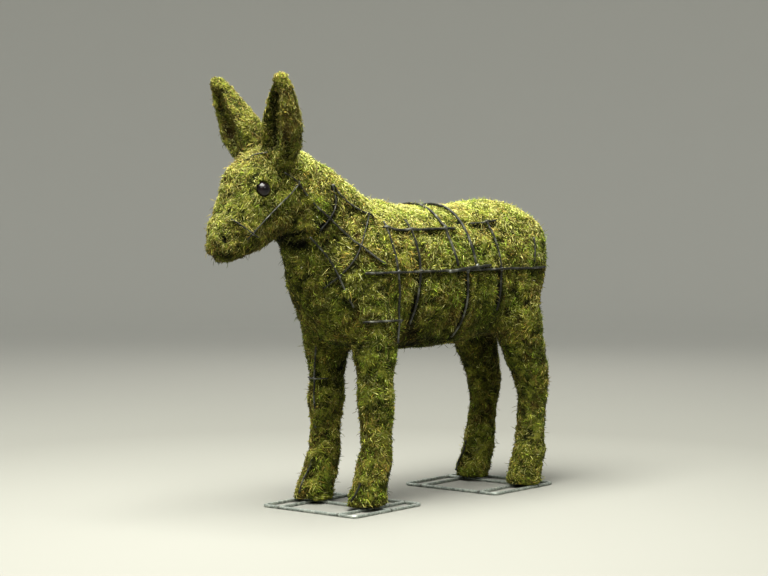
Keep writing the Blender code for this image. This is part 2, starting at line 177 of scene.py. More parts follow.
def bell(away: Array, width: Array | float, power: int = 2) -> Array:
    """Falls from 1 at no distance to about 0 at twice the width, with a flatter top for a higher power."""
    return np.exp(-((away / width) ** power))


def soft_noise(points: Array, size_mm: float, seed: int) -> Array:
    """Smooth lattice noise.

    Args:
        points: Places in metres, one to a row.
        size_mm: The distance over which the noise changes.
        seed: Chooses the pattern.

    Returns:
        One value from -1 to 1 for each point.
    """
    table = default_rng(seed).uniform(-1.0, 1.0, 8192)
    cell = points / (size_mm * MM) + 37.0 + seed % 11
    low = np.floor(cell).astype(np.int64)
    share = cell - low
    share = share * share * (3.0 - 2.0 * share)
    total = np.zeros(len(points))
    for corner in np.ndindex(2, 2, 2):
        x, y, z = (low + corner).T
        held = table[(x * 73856093 ^ y * 19349663 ^ z * 83492791) & 8191]
        total += held * np.where(corner, share, 1.0 - share).prod(axis=1)
    return total


def layered_noise(points: Array, size_mm: float, seed: int, layers: int = 3) -> Array:
    """Adds finer and weaker layers of soft_noise, to about -1 to 1."""
    return sum(soft_noise(points, size_mm / 2**k, seed + k) / 2**k for k in range(layers)) / 1.4


def lumpy(vertices: Array, middle: Array, share: float, size_mm: float, seed: int) -> Array:
    """Makes a shell uneven, by this share of its reach from the middle."""
    return middle + (vertices - middle) * (1.0 + share * soft_noise(vertices, size_mm, seed)[:, None])


def face_share(places: Array) -> Array:
    """Tells the face, at 1, from the rest of the animal, at 0."""
    return ramp(-places[:, 1], -FACE_START, FACE_SPAN)


def pushed_out(points: Array, middle: Array, radius: float) -> Array:
    """Moves the points that lie inside a ball out to its surface.

    Args:
        points: Places, in the last axis.
        middle: The ball's middle.
        radius: Its radius in metres.

    Returns:
        The points, those outside unmoved.
    """
    away = points - middle
    gap = np.linalg.norm(away, axis=-1, keepdims=True)
    return np.where(gap < radius, middle + away / gap * radius, points)


def tree_of(points: Array) -> KDTree:
    """Makes points ready for finding the nearest of them.

    Args:
        points: Places, one to a row.

    Returns:
        A tree that knows each point by its row.
    """
    tree = KDTree(len(points))
    for number, point in enumerate(points):
        tree.insert(point, number)
    tree.balance()
    return tree


def smooth_path(points: Array, spacing: float) -> Array:
    """Draws an even curve through points.

    Args:
        points: Places to pass through, one to a row.
        spacing: The distance between the points of the result, in metres.

    Returns:
        Points on a Catmull-Rom curve, ends included.
    """
    padded = np.vstack([2 * points[0] - points[1], points, 2 * points[-1] - points[-2]])
    fine = []
    for a, b, c, d in zip(padded, padded[1:], padded[2:], padded[3:]):
        # Centripetal spacing keeps the curve from looping where short and long steps meet.
        steps = [max(np.linalg.norm(q - p), 1e-6) ** 0.5 for p, q in ((a, b), (b, c), (c, d))]
        t1, t2, t3 = np.cumsum(steps)
        for t in np.linspace(t1, t2, 12, endpoint=False):
            ab = a + (b - a) * t / t1
            bc = b + (c - b) * (t - t1) / (t2 - t1)
            cd = c + (d - c) * (t - t2) / (t3 - t2)
            abc = ab + (bc - ab) * t / t2
            bcd = bc + (cd - bc) * (t - t1) / (t3 - t1)
            fine.append(abc + (bcd - abc) * (t - t1) / (t2 - t1))
    fine = np.array([*fine, points[-1]])
    run = np.concatenate([[0.0], np.cumsum(np.linalg.norm(np.diff(fine, axis=0), axis=1))])
    wanted = np.linspace(0.0, run[-1], max(2, round(run[-1] / spacing) + 1))
    return np.stack([np.interp(wanted, run, fine[:, k]) for k in range(3)], axis=1)


def halved(a: Array, b: Array, c: Array, d: Array) -> Array:
    """Cuts four-sided faces, given as the vertex numbers of their corners in turn, into triangles."""
    return np.concatenate([np.stack(t, -1).reshape(-1, 3) for t in ((a, b, c), (a, c, d))])


def fan(tip: int, start: Array, end: Array) -> Array:
    """Makes the triangles from one vertex to each edge of a ring."""
    return np.stack([np.full(len(start), tip), start, end], -1)


def swept_tube(path: Array, radius: float, sides: int, closed: bool = False) -> tuple[Array, Array]:
    """Makes a round bar along a path.

    Args:
        path: The bar's centre line, one point to a row.
        radius: Its radius in metres.
        sides: Corners around the bar.
        closed: True where the last point joins the first.

    Returns:
        Vertices, and triangles as rows of vertex indices.
    """
    count = len(path)
    ahead = np.roll(path, -1, axis=0) if closed else np.vstack([path[1:], 2 * path[-1] - path[-2]])
    behind = np.roll(path, 1, axis=0) if closed else np.vstack([2 * path[0] - path[1], path[:-1]])
    heading = unit(ahead - behind)
    side = np.empty_like(heading)
    first = np.cross(heading[0], (0.0, 0.0, 1.0))
    side[0] = unit(first if np.linalg.norm(first) > 0.1 else np.cross(heading[0], (1.0, 0.0, 0.0)))
    for i in range(1, count):
        side[i] = unit(side[i - 1] - heading[i] * side[i - 1].dot(heading[i]))
    up = np.cross(heading, side)
    turn = np.linspace(0.0, 2 * math.pi, sides, endpoint=False)
    around = side[:, None] * np.cos(turn)[:, None] + up[:, None] * np.sin(turn)[:, None]
    vertices = (path[:, None] + around * radius).reshape(-1, 3)
    rows = np.arange(count if closed else count - 1)[:, None] * sides
    next_rows = (rows + sides) % (count * sides)
    k, after = np.arange(sides), (np.arange(sides) + 1) % sides
    faces = halved(rows + k, rows + after, next_rows + after, next_rows + k)
    if not closed:
        start, last = len(vertices), (count - 1) * sides
        vertices = np.vstack([vertices, path[0], path[-1]])
        faces = np.vstack([faces, fan(start, after, k), fan(start + 1, last + k, last + after)])
    return vertices, faces


def round_blob(centre: Array, reach: Array, axes: Array, rows: int, columns: int) -> tuple[Array, Array]:
    """Makes a closed egg shape.

    Args:
        centre: Its middle.
        reach: Half its size along each axis.
        axes: Its three unit axes, one to a row.
        rows: Rings from pole to pole.
        columns: Corners around each ring.

    Returns:
        Vertices, and triangles as rows of vertex indices.
    """
    polar = np.linspace(0.0, math.pi, rows + 1)[1:-1, None]
    turn = np.linspace(0.0, 2 * math.pi, columns, endpoint=False)[None]
    across, height = np.sin(polar), np.cos(polar) + 0 * turn
    ball = np.stack([across * np.cos(turn), across * np.sin(turn), height], -1).reshape(-1, 3)
    ball = np.vstack([ball, (0.0, 0.0, 1.0), (0.0, 0.0, -1.0)])
    k, after = np.arange(columns), (np.arange(columns) + 1) % columns
    row = np.arange(rows - 2)[:, None] * columns
    faces = halved(row + k, row + columns + k, row + columns + after, row + after)
    top, low, last = len(ball) - 2, len(ball) - 1, (rows - 2) * columns
    faces = np.vstack([faces, fan(top, k, after), fan(low, last + after, last + k)])
    return centre + (ball * reach) @ axes, faces


def repeated(corners: Array, one: Sequence[tuple[int, int, int]]) -> tuple[Array, Array]:
    """Gives the same faces to each set of corners.

    Args:
        corners: The corners of each small shell.
        one: The triangles of the first.

    Returns:
        Vertices, and triangles as rows of vertex indices.
    """
    faces = np.array(one)[None] + np.arange(len(corners))[:, None, None] * corners.shape[1]
    return corners.reshape(-1, 3), faces.reshape(-1, 3)


def surface_of(mesh: Mesh) -> tuple[Array, Array]:
    """Reads a mesh.

    Args:
        mesh: The mesh.

    Returns:
        The place and the normal of every vertex.
    """
    places, outward = np.empty((2, len(mesh.vertices) * 3))
    mesh.vertices.foreach_get("co", places)
    mesh.vertex_normals.foreach_get("vector", outward)
    return places.reshape(-1, 3), outward.reshape(-1, 3)


@dataclass
class Shells:
    """Closed shells that become one mesh piece."""

    vertices: list[Array] = field(default_factory=list)
    faces: list[Array] = field(default_factory=list)
    slots: list[Array] = field(default_factory=list)

    def add(self, vertices: Array, faces: Array, slot: int = 0) -> None:
        """Takes in one shell, finished with the material in that slot.

        Args:
            vertices: Its vertices.
            faces: Its triangles.
            slot: The number of its material.
        """
        self.faces.append(faces + sum(map(len, self.vertices)))
        self.vertices.append(vertices)
        self.slots.append(np.full(len(faces), slot, np.int32))

    def piece(self, name: str, *materials: Material) -> Object:
        """Builds the object.

        Args:
            name: The piece's name.
            materials: Its materials, in slot order.

        Returns:
            The object, linked to the scene.
        """
        vertices, faces = np.vstack(self.vertices), np.vstack(self.faces)
        mesh = bpy.data.meshes.new(name)
        mesh.vertices.add(len(vertices))
        mesh.vertices.foreach_set("co", vertices.ravel())
        mesh.loops.add(faces.size)
        mesh.loops.foreach_set("vertex_index", faces.ravel().astype(np.int32))
        mesh.polygons.add(len(faces))
        mesh.polygons.foreach_set("loop_start", np.arange(0, faces.size, 3, dtype=np.int32))
        mesh.polygons.foreach_set("material_index", np.concatenate(self.slots))
        mesh.polygons.foreach_set("use_smooth", np.ones(len(faces), bool))
        mesh.update(calc_edges=True)
        for material in materials:
            mesh.materials.append(material)
        return placed(name, mesh)


def paint(mesh: Mesh, attribute: str, colours: Array) -> None:
    """Stores a colour at every vertex, for the material to read."""
    layer = mesh.color_attributes.new(attribute, "FLOAT_COLOR", "POINT")
    layer.data.foreach_set("color", colours.astype(np.float32).ravel())


def settle(piece: Object, slot: str, *nodes: str) -> None:
    """Fixes a piece to the body and hides the plain nodes that it stands for.

    Args:
        piece: The piece.
        slot: Not used.
        nodes: The plain nodes, none for a cover that is added.
    """
    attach(piece, BODY)
    if nodes:
        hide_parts(*nodes)
    LOG.info("%s: %d faces, for %s", piece.name, len(piece.data.polygons), ", ".join(nodes) or "added cover")


# ------------------------------------------------------------------ finishes


@dataclass(frozen=True)
class SheetMoss:
    """Air-dried sheet moss, torn from the forest floor and pressed on by hand."""

    attribute: str = "moss_depth"
    # gap and shade are colours of painted shade, for the pits and between them; olive is the lumps' own tone
    gap: str = "#101304"
    shade: str = "#3E4212"
    olive: str = "#7E8130"
    brown: str = "#3E2D14"
    clump_mm: float = 6.0
    patch_mm: float = 75.0
    fibre_mm: float = 2.4  # real leaves are about 1 mm; drawn coarser so that they show
    fibre_deep_mm: float = 1.5
    roughness: float = 0.9
    specular: float = 0.08

    def material(self) -> Material:
        """Makes the matted layer under the sprigs, olive on the lumps with brown patches of old stem, and
        painted shade: black in the pits and darker where other moss shelters it from the sky.

        Returns:
            The material.
        """
        material, add = blank_material("sheet_moss_matted")
        place = {"Vector": add("TexCoord").outputs["Object"]}
        # Red holds the relief and green the shelter from the sky, both used for painted shade
        depth = add("SeparateColor", links={"Color": add("Attribute", {"attribute_name": self.attribute})})
        grain = {"Scale": per_metre(self.clump_mm), "Detail": 4.0, "Roughness": 0.65, "Distortion": 0.6}
        clump = add("TexNoise", grain, place)
        height = add("Math", {"operation": "MULTIPLY_ADD", 1: 0.55}, {0: depth.outputs["Red"], 2: clump})
        # Painted shade: the gap colour in the pits, the shade colour between, olive on the lumps
        stops = [(0.55, self.gap), (0.78, self.shade), (1.0, self.olive)]
        tone = add("ValToRGB", {"stops": stops}, {"Fac": height})
        patch = add("TexNoise", {"Scale": per_metre(self.patch_mm), "Detail": 3.0, "Roughness": 0.6}, place)
        old = add("ValToRGB", {"stops": [(0.52, 0.0), (0.66, 0.6)]}, {"Fac": patch})
        colour = add("Mix", {"data_type": "RGBA", 7: linear(self.brown)}, {0: old, 6: tone})
        # Painted shade: the more the moss is sheltered from the sky, the darker it is
        limits = {"From Min": 0.1, "From Max": 0.8, "To Min": 1.0, "To Max": 0.2}
        open_sky = add("MapRange", limits, {"Value": depth.outputs["Green"]})
        shaded = add("VectorMath", {"operation": "SCALE"}, {0: colour.outputs[2], "Scale": open_sky})
        fibre = add("TexNoise", {"Scale": per_metre(self.fibre_mm), "Detail": 3.0, "Distortion": 1.2}, place)
        bump = add("Bump", {"Strength": 0.8, "Distance": self.fibre_deep_mm * MM}, {"Height": fibre})
        matt = {"Roughness": self.roughness, "Specular IOR Level": self.specular}
        shader = add("BsdfPrincipled", matt, {"Base Color": shaded, "Normal": bump})
        add("OutputMaterial", links={"Surface": shader})
        return material


@dataclass(frozen=True)
class MossSprig:
    """Loose sprigs of the same moss: leafy stems, each of its own green, straw or rust."""

    # Each sprig's tint here carries its painted light and shade
    attribute: str = "sprig_tint"
    leaf_mm: float = 1.6
    leaf_deep_mm: float = 0.4
    leaf_dark: float = 0.72
    leaf_light: float = 1.18
    roughness: float = 0.68
    specular: float = 0.12
    sheen: float = 0.03
    sheen_tint: str = "#C9CC8A"

    def material(self) -> Material:
        """Makes a dry, soft surface, the tint changing from sprig to sprig and a little from leaf to leaf;
        each sprig's tint carries its painted light and shade.

        Returns:
            The material.
        """
        material, add = blank_material("moss_sprig_dry")
        place = add("TexCoord").outputs["Object"]
        own = add("Attribute", {"attribute_name": self.attribute})
        leaf = add("TexNoise", {"Scale": per_metre(self.leaf_mm), "Detail": 1.0}, {"Vector": place})
        limits = {"From Min": 0.3, "From Max": 0.7, "To Min": self.leaf_dark, "To Max": self.leaf_light}
        shift = add("MapRange", limits, {"Value": leaf})
        tint = add("VectorMath", {"operation": "SCALE"}, {0: own, "Scale": shift})
        bump = add("Bump", {"Strength": 0.5, "Distance": self.leaf_deep_mm * MM}, {"Height": leaf})
        soft = {
            "Roughness": self.roughness,
            "Specular IOR Level": self.specular,
            "Sheen Weight": self.sheen,
            "Sheen Roughness": 0.5,
            "Sheen Tint": linear(self.sheen_tint),
        }
        shader = add("BsdfPrincipled", soft, {"Base Color": tint, "Normal": bump})
        add("OutputMaterial", links={"Surface": shader})
        return material


@dataclass(frozen=True)
class SteelFinish:
    """Bent mild steel, seen through its scale, zinc or weather."""

    name: str
    dark: str
    body: str
    pale: str
    stain: str
    smooth: float
    rough: float
    metallic: float
    mottle_mm: float
    stain_from: float = 0.6
    pitted_mm: float = 0.25

    def material(self) -> Material:
        """Makes cloudy grey metal with paler rubbed patches, specks of rust or dirt, and a dull shine.

        Returns:
            The material.
        """
        material, add = blank_material(self.name)
        place = {"Vector": add("TexCoord").outputs["Object"]}
        scale = per_metre(self.mottle_mm)
        mottle = add("TexNoise", {"Scale": scale, "Detail": 5.0, "Roughness": 0.6}, place)
        stops = [(0.34, self.dark), (0.5, self.body), (0.66, self.pale)]
        tone = add("ValToRGB", {"stops": stops}, {"Fac": mottle})
        fine = per_metre(self.mottle_mm / 2.7)
        speck = add("TexNoise", {"Scale": fine, "Detail": 4.0, "Distortion": 0.5}, place)
        stops = [(self.stain_from, 0.0), (self.stain_from + 0.1, 0.85)]
        spot = add("ValToRGB", {"stops": stops}, {"Fac": speck})
        colour = add("Mix", {"data_type": "RGBA", 7: linear(self.stain)}, {0: spot, 6: tone})
        limits = {"From Min": 0.3, "From Max": 0.7, "To Min": self.rough, "To Max": self.smooth}
        shine = add("MapRange", limits, {"Value": mottle})
        bump = add("Bump", {"Strength": 0.35, "Distance": self.pitted_mm * MM}, {"Height": speck})
        links = {"Base Color": colour.outputs[2], "Roughness": shine, "Normal": bump}
        add("OutputMaterial", links={"Surface": add("BsdfPrincipled", {"Metallic": self.metallic}, links)})
        return material


WEATHERED_ROD = SteelFinish(
    "mild_steel_rod_weathered", "#171814", "#272822", "#6A6B62", "#33281A", 0.42, 0.66, 0.5, 24.0
)
BRIGHT_WELD = SteelFinish(
    "weld_bead_zinc_sprayed", "#3C3E3A", "#5C5F59", "#82857D", "#3A342A", 0.42, 0.65, 0.7, 4.0
)
GALVANISED_BAR = SteelFinish(
    "hot_dip_galvanised_bar", "#7C857F", "#A0A8A1", "#C6CBC3", "#4A4D3E", 0.38, 0.62, 0.7, 9.0, 0.62
)


@dataclass(frozen=True)
class BlackGlass:
    """Solid black glass, fire polished, as used for animals' eyes."""

    colour: str = "#070506"
    streak: str = "#1C1214"
    streak_mm: float = 11.0
    roughness: float = 0.15
    ior: float = 1.52
    specular: float = 0.30

    def material(self) -> Material:
        """Makes it nearly black, with one clean wet-looking reflection and a faint brown depth.

        Returns:
            The material.
        """
        material, add = blank_material("eye_glass_black")
        place = add("TexCoord").outputs["Object"]
        depth = add("TexNoise", {"Scale": per_metre(self.streak_mm), "Detail": 2.0}, {"Vector": place})
        tone = add("ValToRGB", {"stops": [(0.4, self.colour), (0.75, self.streak)]}, {"Fac": depth})
        clear = {"Roughness": self.roughness, "IOR": self.ior, "Specular IOR Level": self.specular}
        add("OutputMaterial", links={"Surface": add("BsdfPrincipled", clear, {"Base Color": tone})})
        return material


@dataclass(frozen=True)
class MattFloor:
    """Painted studio floor, matt and pale, a little deeper in tone around the animal."""

    near: str = "#91918B"
    far: str = "#DADAD4"
    near_m: float = 1.6
    far_m: float = 7.0
    roughness: float = 0.9
    specular: float = 0.1

    def material(self) -> Material:
        """Makes an even pale tone that only carries the shadow.

        Returns:
            The material.
        """
        material, add = blank_material("studio_floor_matt")
        away = add("VectorMath", {"operation": "LENGTH"}, {0: add("TexCoord").outputs["Object"]})
        limits = {"From Min": self.near_m, "From Max": self.far_m}
        share = add("MapRange", limits, {"Value": away.outputs["Value"]})
        tone = add("ValToRGB", {"stops": [(0.0, self.near), (1.0, self.far)]}, {"Fac": share})
        matt = {"Roughness": self.roughness, "Specular IOR Level": self.specular}
        add("OutputMaterial", links={"Surface": add("BsdfPrincipled", matt, {"Base Color": tone})})
        return material


# ------------------------------------------------------------------ rods


class Bedding(Enum):
    """How a rod lies: standing out of the moss, pressed into it, or deep between two swollen cushions.

    Each holds the share of the rod's thickness that the moss reaches, half the width of the strip that
    follows the rod and the swelling beside it, both in millimetres, and how dark the painted shade in the
    groove is, up to 1.
    """

    PROUD = (0.10, 7.0, 0.0, 0.12)
    PRESSED = (0.35, 7.2, 2.5, 0.42)
    SUNK = (0.0, 9.0, 10.0, 0.95)

    def sizes(self) -> tuple[float, float, float, float]:
        """Gives the same values with the lengths in metres."""
        hold, width, cushion, gloom = self.value
        return hold, width * MM, cushion * MM, gloom


@dataclass
class RodGroup:
    """Rods that are bent and welded together as one part of the cage, and how the moss lies at them."""

    name: str
    nodes: tuple[str, ...]
    above: Bedding = Bedding.PROUD
    below: Bedding = Bedding.PROUD
    overgrown: float = 0.22


@dataclass
class Rod:
    """One laid rod."""

    name: str
    path: Array
    radius: float
    group: RodGroup
    patch_mm: float = 55.0
    bridge: float = 0.026

    def bedding_at(self, height: float) -> Bedding:
        """Gives the bedding above or below the flank rail."""
        return self.group.above if height > RAIL_HEIGHT else self.group.below

    def hidden(self, places: Array) -> Array:
        """True where loose moss lies over the rod: here and there, and over the bridge of the nose."""
        patchy = soft_noise(places, self.patch_mm, 19) > 1.0 - 2.0 * self.group.overgrown
        return patchy | (np.abs(places[:, 0]) < self.bridge) & (places[:, 1] < NOSE_START)


def centre_line(node: Object) -> tuple[Array, float]:
    """Reads a plain rod's centre line from the rings of corners along it.

    Args:
        node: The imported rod, a bar with four or six flats.

    Returns:
        The ring centres from end to end, and the radius to the corners.

    Raises:
        ValueError: If the node isn't such a bar.
    """
    mesh = node.data
    mesh.calc_loop_triangles()
    raw = np.array([v.co[:] for v in mesh.vertices])
    corners, same = np.unique(np.round(raw, 6), axis=0, return_inverse=True)
    near: list[set[int]] = [set() for _ in corners]
    for triangle in mesh.loop_triangles:
        three = {int(same.flat[i]) for i in triangle.vertices}
        for corner in three:
            near[corner] |= three - {corner}
    for flats in (6, 4):
        if len(corners) % flats:
            continue
        for start in corners:
            away = np.linalg.norm(corners - start, axis=1)
            ring = [int(i) for i in np.argsort(away, kind="stable")[:flats]]
            rings, seen = [ring], set(ring)
            while ring and len(ring) == flats:
                ring = sorted({j for i in ring for j in near[i]} - seen)
                seen |= set(ring)
                if ring:
                    rings.append(ring)
            if len(seen) == len(corners) and all(len(r) == flats for r in rings):
                centres = np.array([corners[r].mean(axis=0) for r in rings])
                reach = np.linalg.norm(corners[np.array(rings)] - centres[:, None], axis=2)
                if np.ptp(reach) < 0.1 * reach.mean():
                    return centres, float(reach.mean())
    raise ValueError(f"{node.name} has no rings of corners")


@dataclass
class Strip:
    """Close points along all rods, with what the moss does at each."""

    tree: KDTree
    places: Array
    radius: Array
    hold: Array
    width: Array
    cushion: Array
    # how dark the painted shade in the groove along the rod is
    gloom: Array
    hidden: Array

    def nearest(self, points: Array) -> tuple[Array, Array]:
        """Finds the row of the nearest rod point, and its distance, for each place."""
        found = [self.tree.find(p)[1:] for p in points.tolist()]
        return np.array([f[0] for f in found]), np.array([f[1] for f in found])


@dataclass
class RodCage:
    """The cage of bent rods that holds the moss, with a bead of weld at each crossing."""

    groups: tuple[RodGroup, ...]
    spacing_mm: float = 6.0
    strip_mm: float = 2.0
    sides: int = 8
    waver_mm: float = 0.35
    waver_over_mm: float = 45.0
    touch_mm: float = 3.2
    nose_reach: float = 0.037
    nose_aside: float = 0.014
    nose_sunk_mm: float = 15.0
    bead_size: tuple[float, float, float] = (1.05, 0.85, 0.62)  # along, across and out, in rod radii
    bead_lumps: float = 0.16
    bead_lump_mm: float = 3.0
    rods: list[Rod] = field(default_factory=list)

    def read(self, nodes: dict[str, Object]) -> None:
        """Takes every rod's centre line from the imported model, and sinks the wire that crosses the nose.

        Args:
            nodes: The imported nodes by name.
        """
        for group in self.groups:
            for name in group.nodes:
                corners, radius = centre_line(nodes[name])
                path = smooth_path(corners, self.spacing_mm * MM)
                over_nose = bell(path[:, 0] + self.nose_aside, self.nose_reach, 4)
                path[:, 1] += over_nose * (path[:, 1] < NOSE_START) * self.nose_sunk_mm * MM
                self.rods.append(Rod(name, path, radius, group))

    def crossings(self) -> list[tuple[Rod, Rod, Array, Array, Array]]:
        """Finds where rods touch.

        Returns:
            For each crossing the two rods, its middle and both headings.
        """
        found: list[tuple[Rod, Rod, Array, Array, Array]] = []
        for i, one in enumerate(self.rods):
            tree = tree_of(one.path)
            for other in self.rods[i + 1 :]:
                hits = [(tree.find(p), k) for k, p in enumerate(other.path)]
                (place, at, gap), k = min(hits, key=lambda hit: hit[0][2])
                if gap < one.radius + other.radius + self.touch_mm * MM:
                    middle = (np.array(place) + other.path[k]) / 2
                    lines = [
                        unit(path[min(j + 1, len(path) - 1)] - path[max(j - 1, 0)])
                        for path, j in ((one.path, at), (other.path, k))
                    ]
                    found.append((one, other, middle, *lines))
        return found

    def bead(
        self, one: Rod, other: Rod, middle: Array, heading: Array, across: Array
    ) -> tuple[Array, Array]:
        """Makes a small lump of weld in the angle of two rods.

        Args:
            one: The first rod.
            other: The second rod.
            middle: The point between them.
            heading: The first rod's heading.
            across: The second rod's heading.

        Returns:
            Vertices and triangles.
        """
        long = unit(heading + across) if abs(heading.dot(across)) < 0.95 else heading
        out = np.cross(heading, across)
        out = unit(out) if np.linalg.norm(out) > 0.1 else unit(np.cross(long, (0.3, 0.1, 1.0)))
        axes = np.array([long, np.cross(out, long), out])
        reach = np.array(self.bead_size) * (one.radius + other.radius)
        vertices, faces = round_blob(middle, reach, axes, 6, 8)
        return lumpy(vertices, middle, self.bead_lumps, self.bead_lump_mm, 5), faces

    def build(self, rod_steel: Material, weld: Material) -> None:
        """Builds one piece for each group, rods first and welds second.

        Args:
            rod_steel: The rods' finish.
            weld: The beads' finish.
        """
        laid = {rod.name: rod for rod in self.rods}
        crossings = self.crossings()
        for number, group in enumerate(self.groups):
            shells = Shells()
            for name in group.nodes:
                rod = laid[name]
                seeds = range(60 + 3 * number, 63 + 3 * number)
                shift = np.stack([soft_noise(rod.path, self.waver_over_mm, seed) for seed in seeds], axis=1)
                shells.add(*swept_tube(rod.path + shift * self.waver_mm * MM, rod.radius, self.sides))
            for one, other, *rest in crossings:
                if one.name in group.nodes:
                    shells.add(*self.bead(one, other, *rest), slot=1)
            settle(shells.piece(group.name, rod_steel, weld), "cage_rod", *group.nodes)

    def strip(self) -> Strip:
        """Lays out close points along every rod.

        Returns:
            The points of all rods, in one strip.
        """
        rows = []
        for rod in self.rods:
            places = smooth_path(rod.path, self.strip_mm * MM)
            beds = [(rod.radius, *rod.bedding_at(p[2]).sizes()) for p in places]
            rows.append(np.column_stack([places, beds, rod.hidden(places)]))
        table = np.vstack(rows)
        places = table[:, :3]
        return Strip(tree_of(places), places, *table[:, 3:8].T, table[:, 8] > 0.0)


# ------------------------------------------------------------------ ground frames and eyes


@dataclass
class GroundFrame:
    """A rounded rectangle of bar under two hooves, with one bar across and two along, all welded."""

    node: str
    cross: float
    width: float = 0.306
    length: float = 0.268
    turn_deg: float = 7.0
    bar: float = 0.008
    inner_bar: float = 0.0078
    bend: float = 0.011
    hoof_bar: float = 0.096
    sides: int = 14
    step_mm: float = 6.0
    bead_size: tuple[float, float, float] = (0.0062, 0.0062, 0.0038)
    bead_lumps: float = 0.14
    bead_lump_mm: float = 3.5
    bead_up: float = 0.0006
    clearance: float = 0.0004

    @property
    def half(self) -> tuple[float, float]:
        """Half the width and half the length, to the bar's middle."""
        return (self.width - self.bar) / 2, (self.length - self.bar) / 2

    def laid(self, flat: Array) -> Array:
        """Turns and moves places in the frame's own directions to where it lies on the ground.

        Args:
            flat: Distances across and along, one pair to a row.

        Returns:
            The places at the height of the bars' middle.
        """
        low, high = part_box(self.node)
        sine, cosine = math.sin(math.radians(self.turn_deg)), math.cos(math.radians(self.turn_deg))
        x = (low.x + high.x) / 2 + cosine * flat[:, 0] - sine * flat[:, 1]
        y = (low.y + high.y) / 2 + sine * flat[:, 0] + cosine * flat[:, 1]
        return np.stack([x, y, np.full(len(flat), self.bar / 2)], axis=1)

    def outline(self) -> Array:
        """Draws the rounded rectangle that the bar's middle follows.

        Returns:
            Distances across and along, one pair to a row.
        """
        half_x, half_y = self.half
        corners = []
        for sign_x, sign_y, turn in ((1, 1, 0.0), (-1, 1, 0.5), (-1, -1, 1.0), (1, -1, 1.5)):
            for k in range(7):
                t = math.pi * (turn + k / 12)
                x = sign_x * (half_x - self.bend) + self.bend * math.cos(t)
                corners.append((x, sign_y * (half_y - self.bend) + self.bend * math.sin(t)))
        line = [np.array(corners[0])]
        for end in np.array([*corners[1:], corners[0]]):
            steps = max(1, round(np.linalg.norm(end - line[-1]) / (self.step_mm * MM)))
            line += list(line[-1] + (end - line[-1]) * s for s in np.linspace(0, 1, steps + 1)[1:])
        return np.array(line[:-1])

    def build(self, zinc: Material, weld: Material) -> None:
        """Builds the frame in place of its plain node.

        Args:
            zinc: The bars' finish.
            weld: The beads' finish.
        """
        half_x, half_y = self.half
        along = (-self.hoof_bar, self.hoof_bar)
        shells = Shells()
        shells.add(*swept_tube(self.laid(self.outline()), self.bar / 2, self.sides, closed=True))
        ends = [((-half_x, self.cross), (half_x, self.cross)), *(((x, -half_y), (x, half_y)) for x in along)]
        for start, stop in ends:
            shells.add(*swept_tube(self.laid(np.linspace(start, stop, 40)), self.inner_bar / 2, self.sides))
        joints = [p for pair in ends for p in pair] + [(x, self.cross) for x in along]
        for middle in self.laid(np.array(joints)) + (0.0, 0.0, self.bead_up):
            vertices, faces = round_blob(middle, np.array(self.bead_size), np.eye(3), 6, 10)
            vertices = lumpy(vertices, middle, self.bead_lumps, self.bead_lump_mm, 9)
            vertices[:, 2] = np.maximum(vertices[:, 2], self.clearance)
            shells.add(vertices, faces, slot=1)
        settle(shells.piece(self.node.replace("ground", "bar"), zinc, weld), "ground_bar", self.node)


@dataclass
class GlassEye:
    """A solid glass ball pressed into a socket in the moss."""

    node: str
    rings: int = 28
    columns: int = 40

    def build(self, glass: Material) -> tuple[Array, float]:
        """Builds the ball in place of its plain node.

        Args:
            glass: Its finish.

        Returns:
            Its middle and radius.
        """
        low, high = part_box(self.node)
        middle, radius = np.array((low + high) / 2), (high.z - low.z) / 2
        shells = Shells()
        shells.add(*round_blob(middle, np.full(3, radius), np.eye(3), self.rings, self.columns))
        settle(shells.piece(self.node.replace("eye", "glass_eye"), glass), "eye", self.node)
        return middle, radius


# ------------------------------------------------------------------ moss


class Side(Enum):
    """Which side of the animal a dent is on."""

    LEFT = 1.0
    RIGHT = -1.0
    BOTH = 0.0


@dataclass(frozen=True)
class Hollow:
    """A dent in the moss along a line, such as a nostril, the mouth or the cup of an ear.

    A negative depth is a swelling, and a depth of 0 is only a painted shade. The gloom is how dark the
    painted shade in the dent is.
    """

    line: tuple[tuple[float, float, float], ...]
    depth_mm: float
    width_mm: float
    gloom: float = 1.0
    side: Side = Side.BOTH
    spacing_mm: float = 3.0

    def share(self, points: Array) -> Array:
        """Tells how far each point lies in the dent.

        Args:
            points: Places, one to a row.

        Returns:
            From 0 outside it to 1 on its line.
        """
        places = points.copy()
        places[:, 0] = np.abs(places[:, 0])
        away = np.full(len(points), np.inf)
        for p in smooth_path(np.array(self.line), self.spacing_mm * MM):
            away = np.minimum(away, np.linalg.norm(places - p, axis=1))
        return bell(away, self.width_mm * MM) * (points[:, 0] * self.side.value >= 0.0)
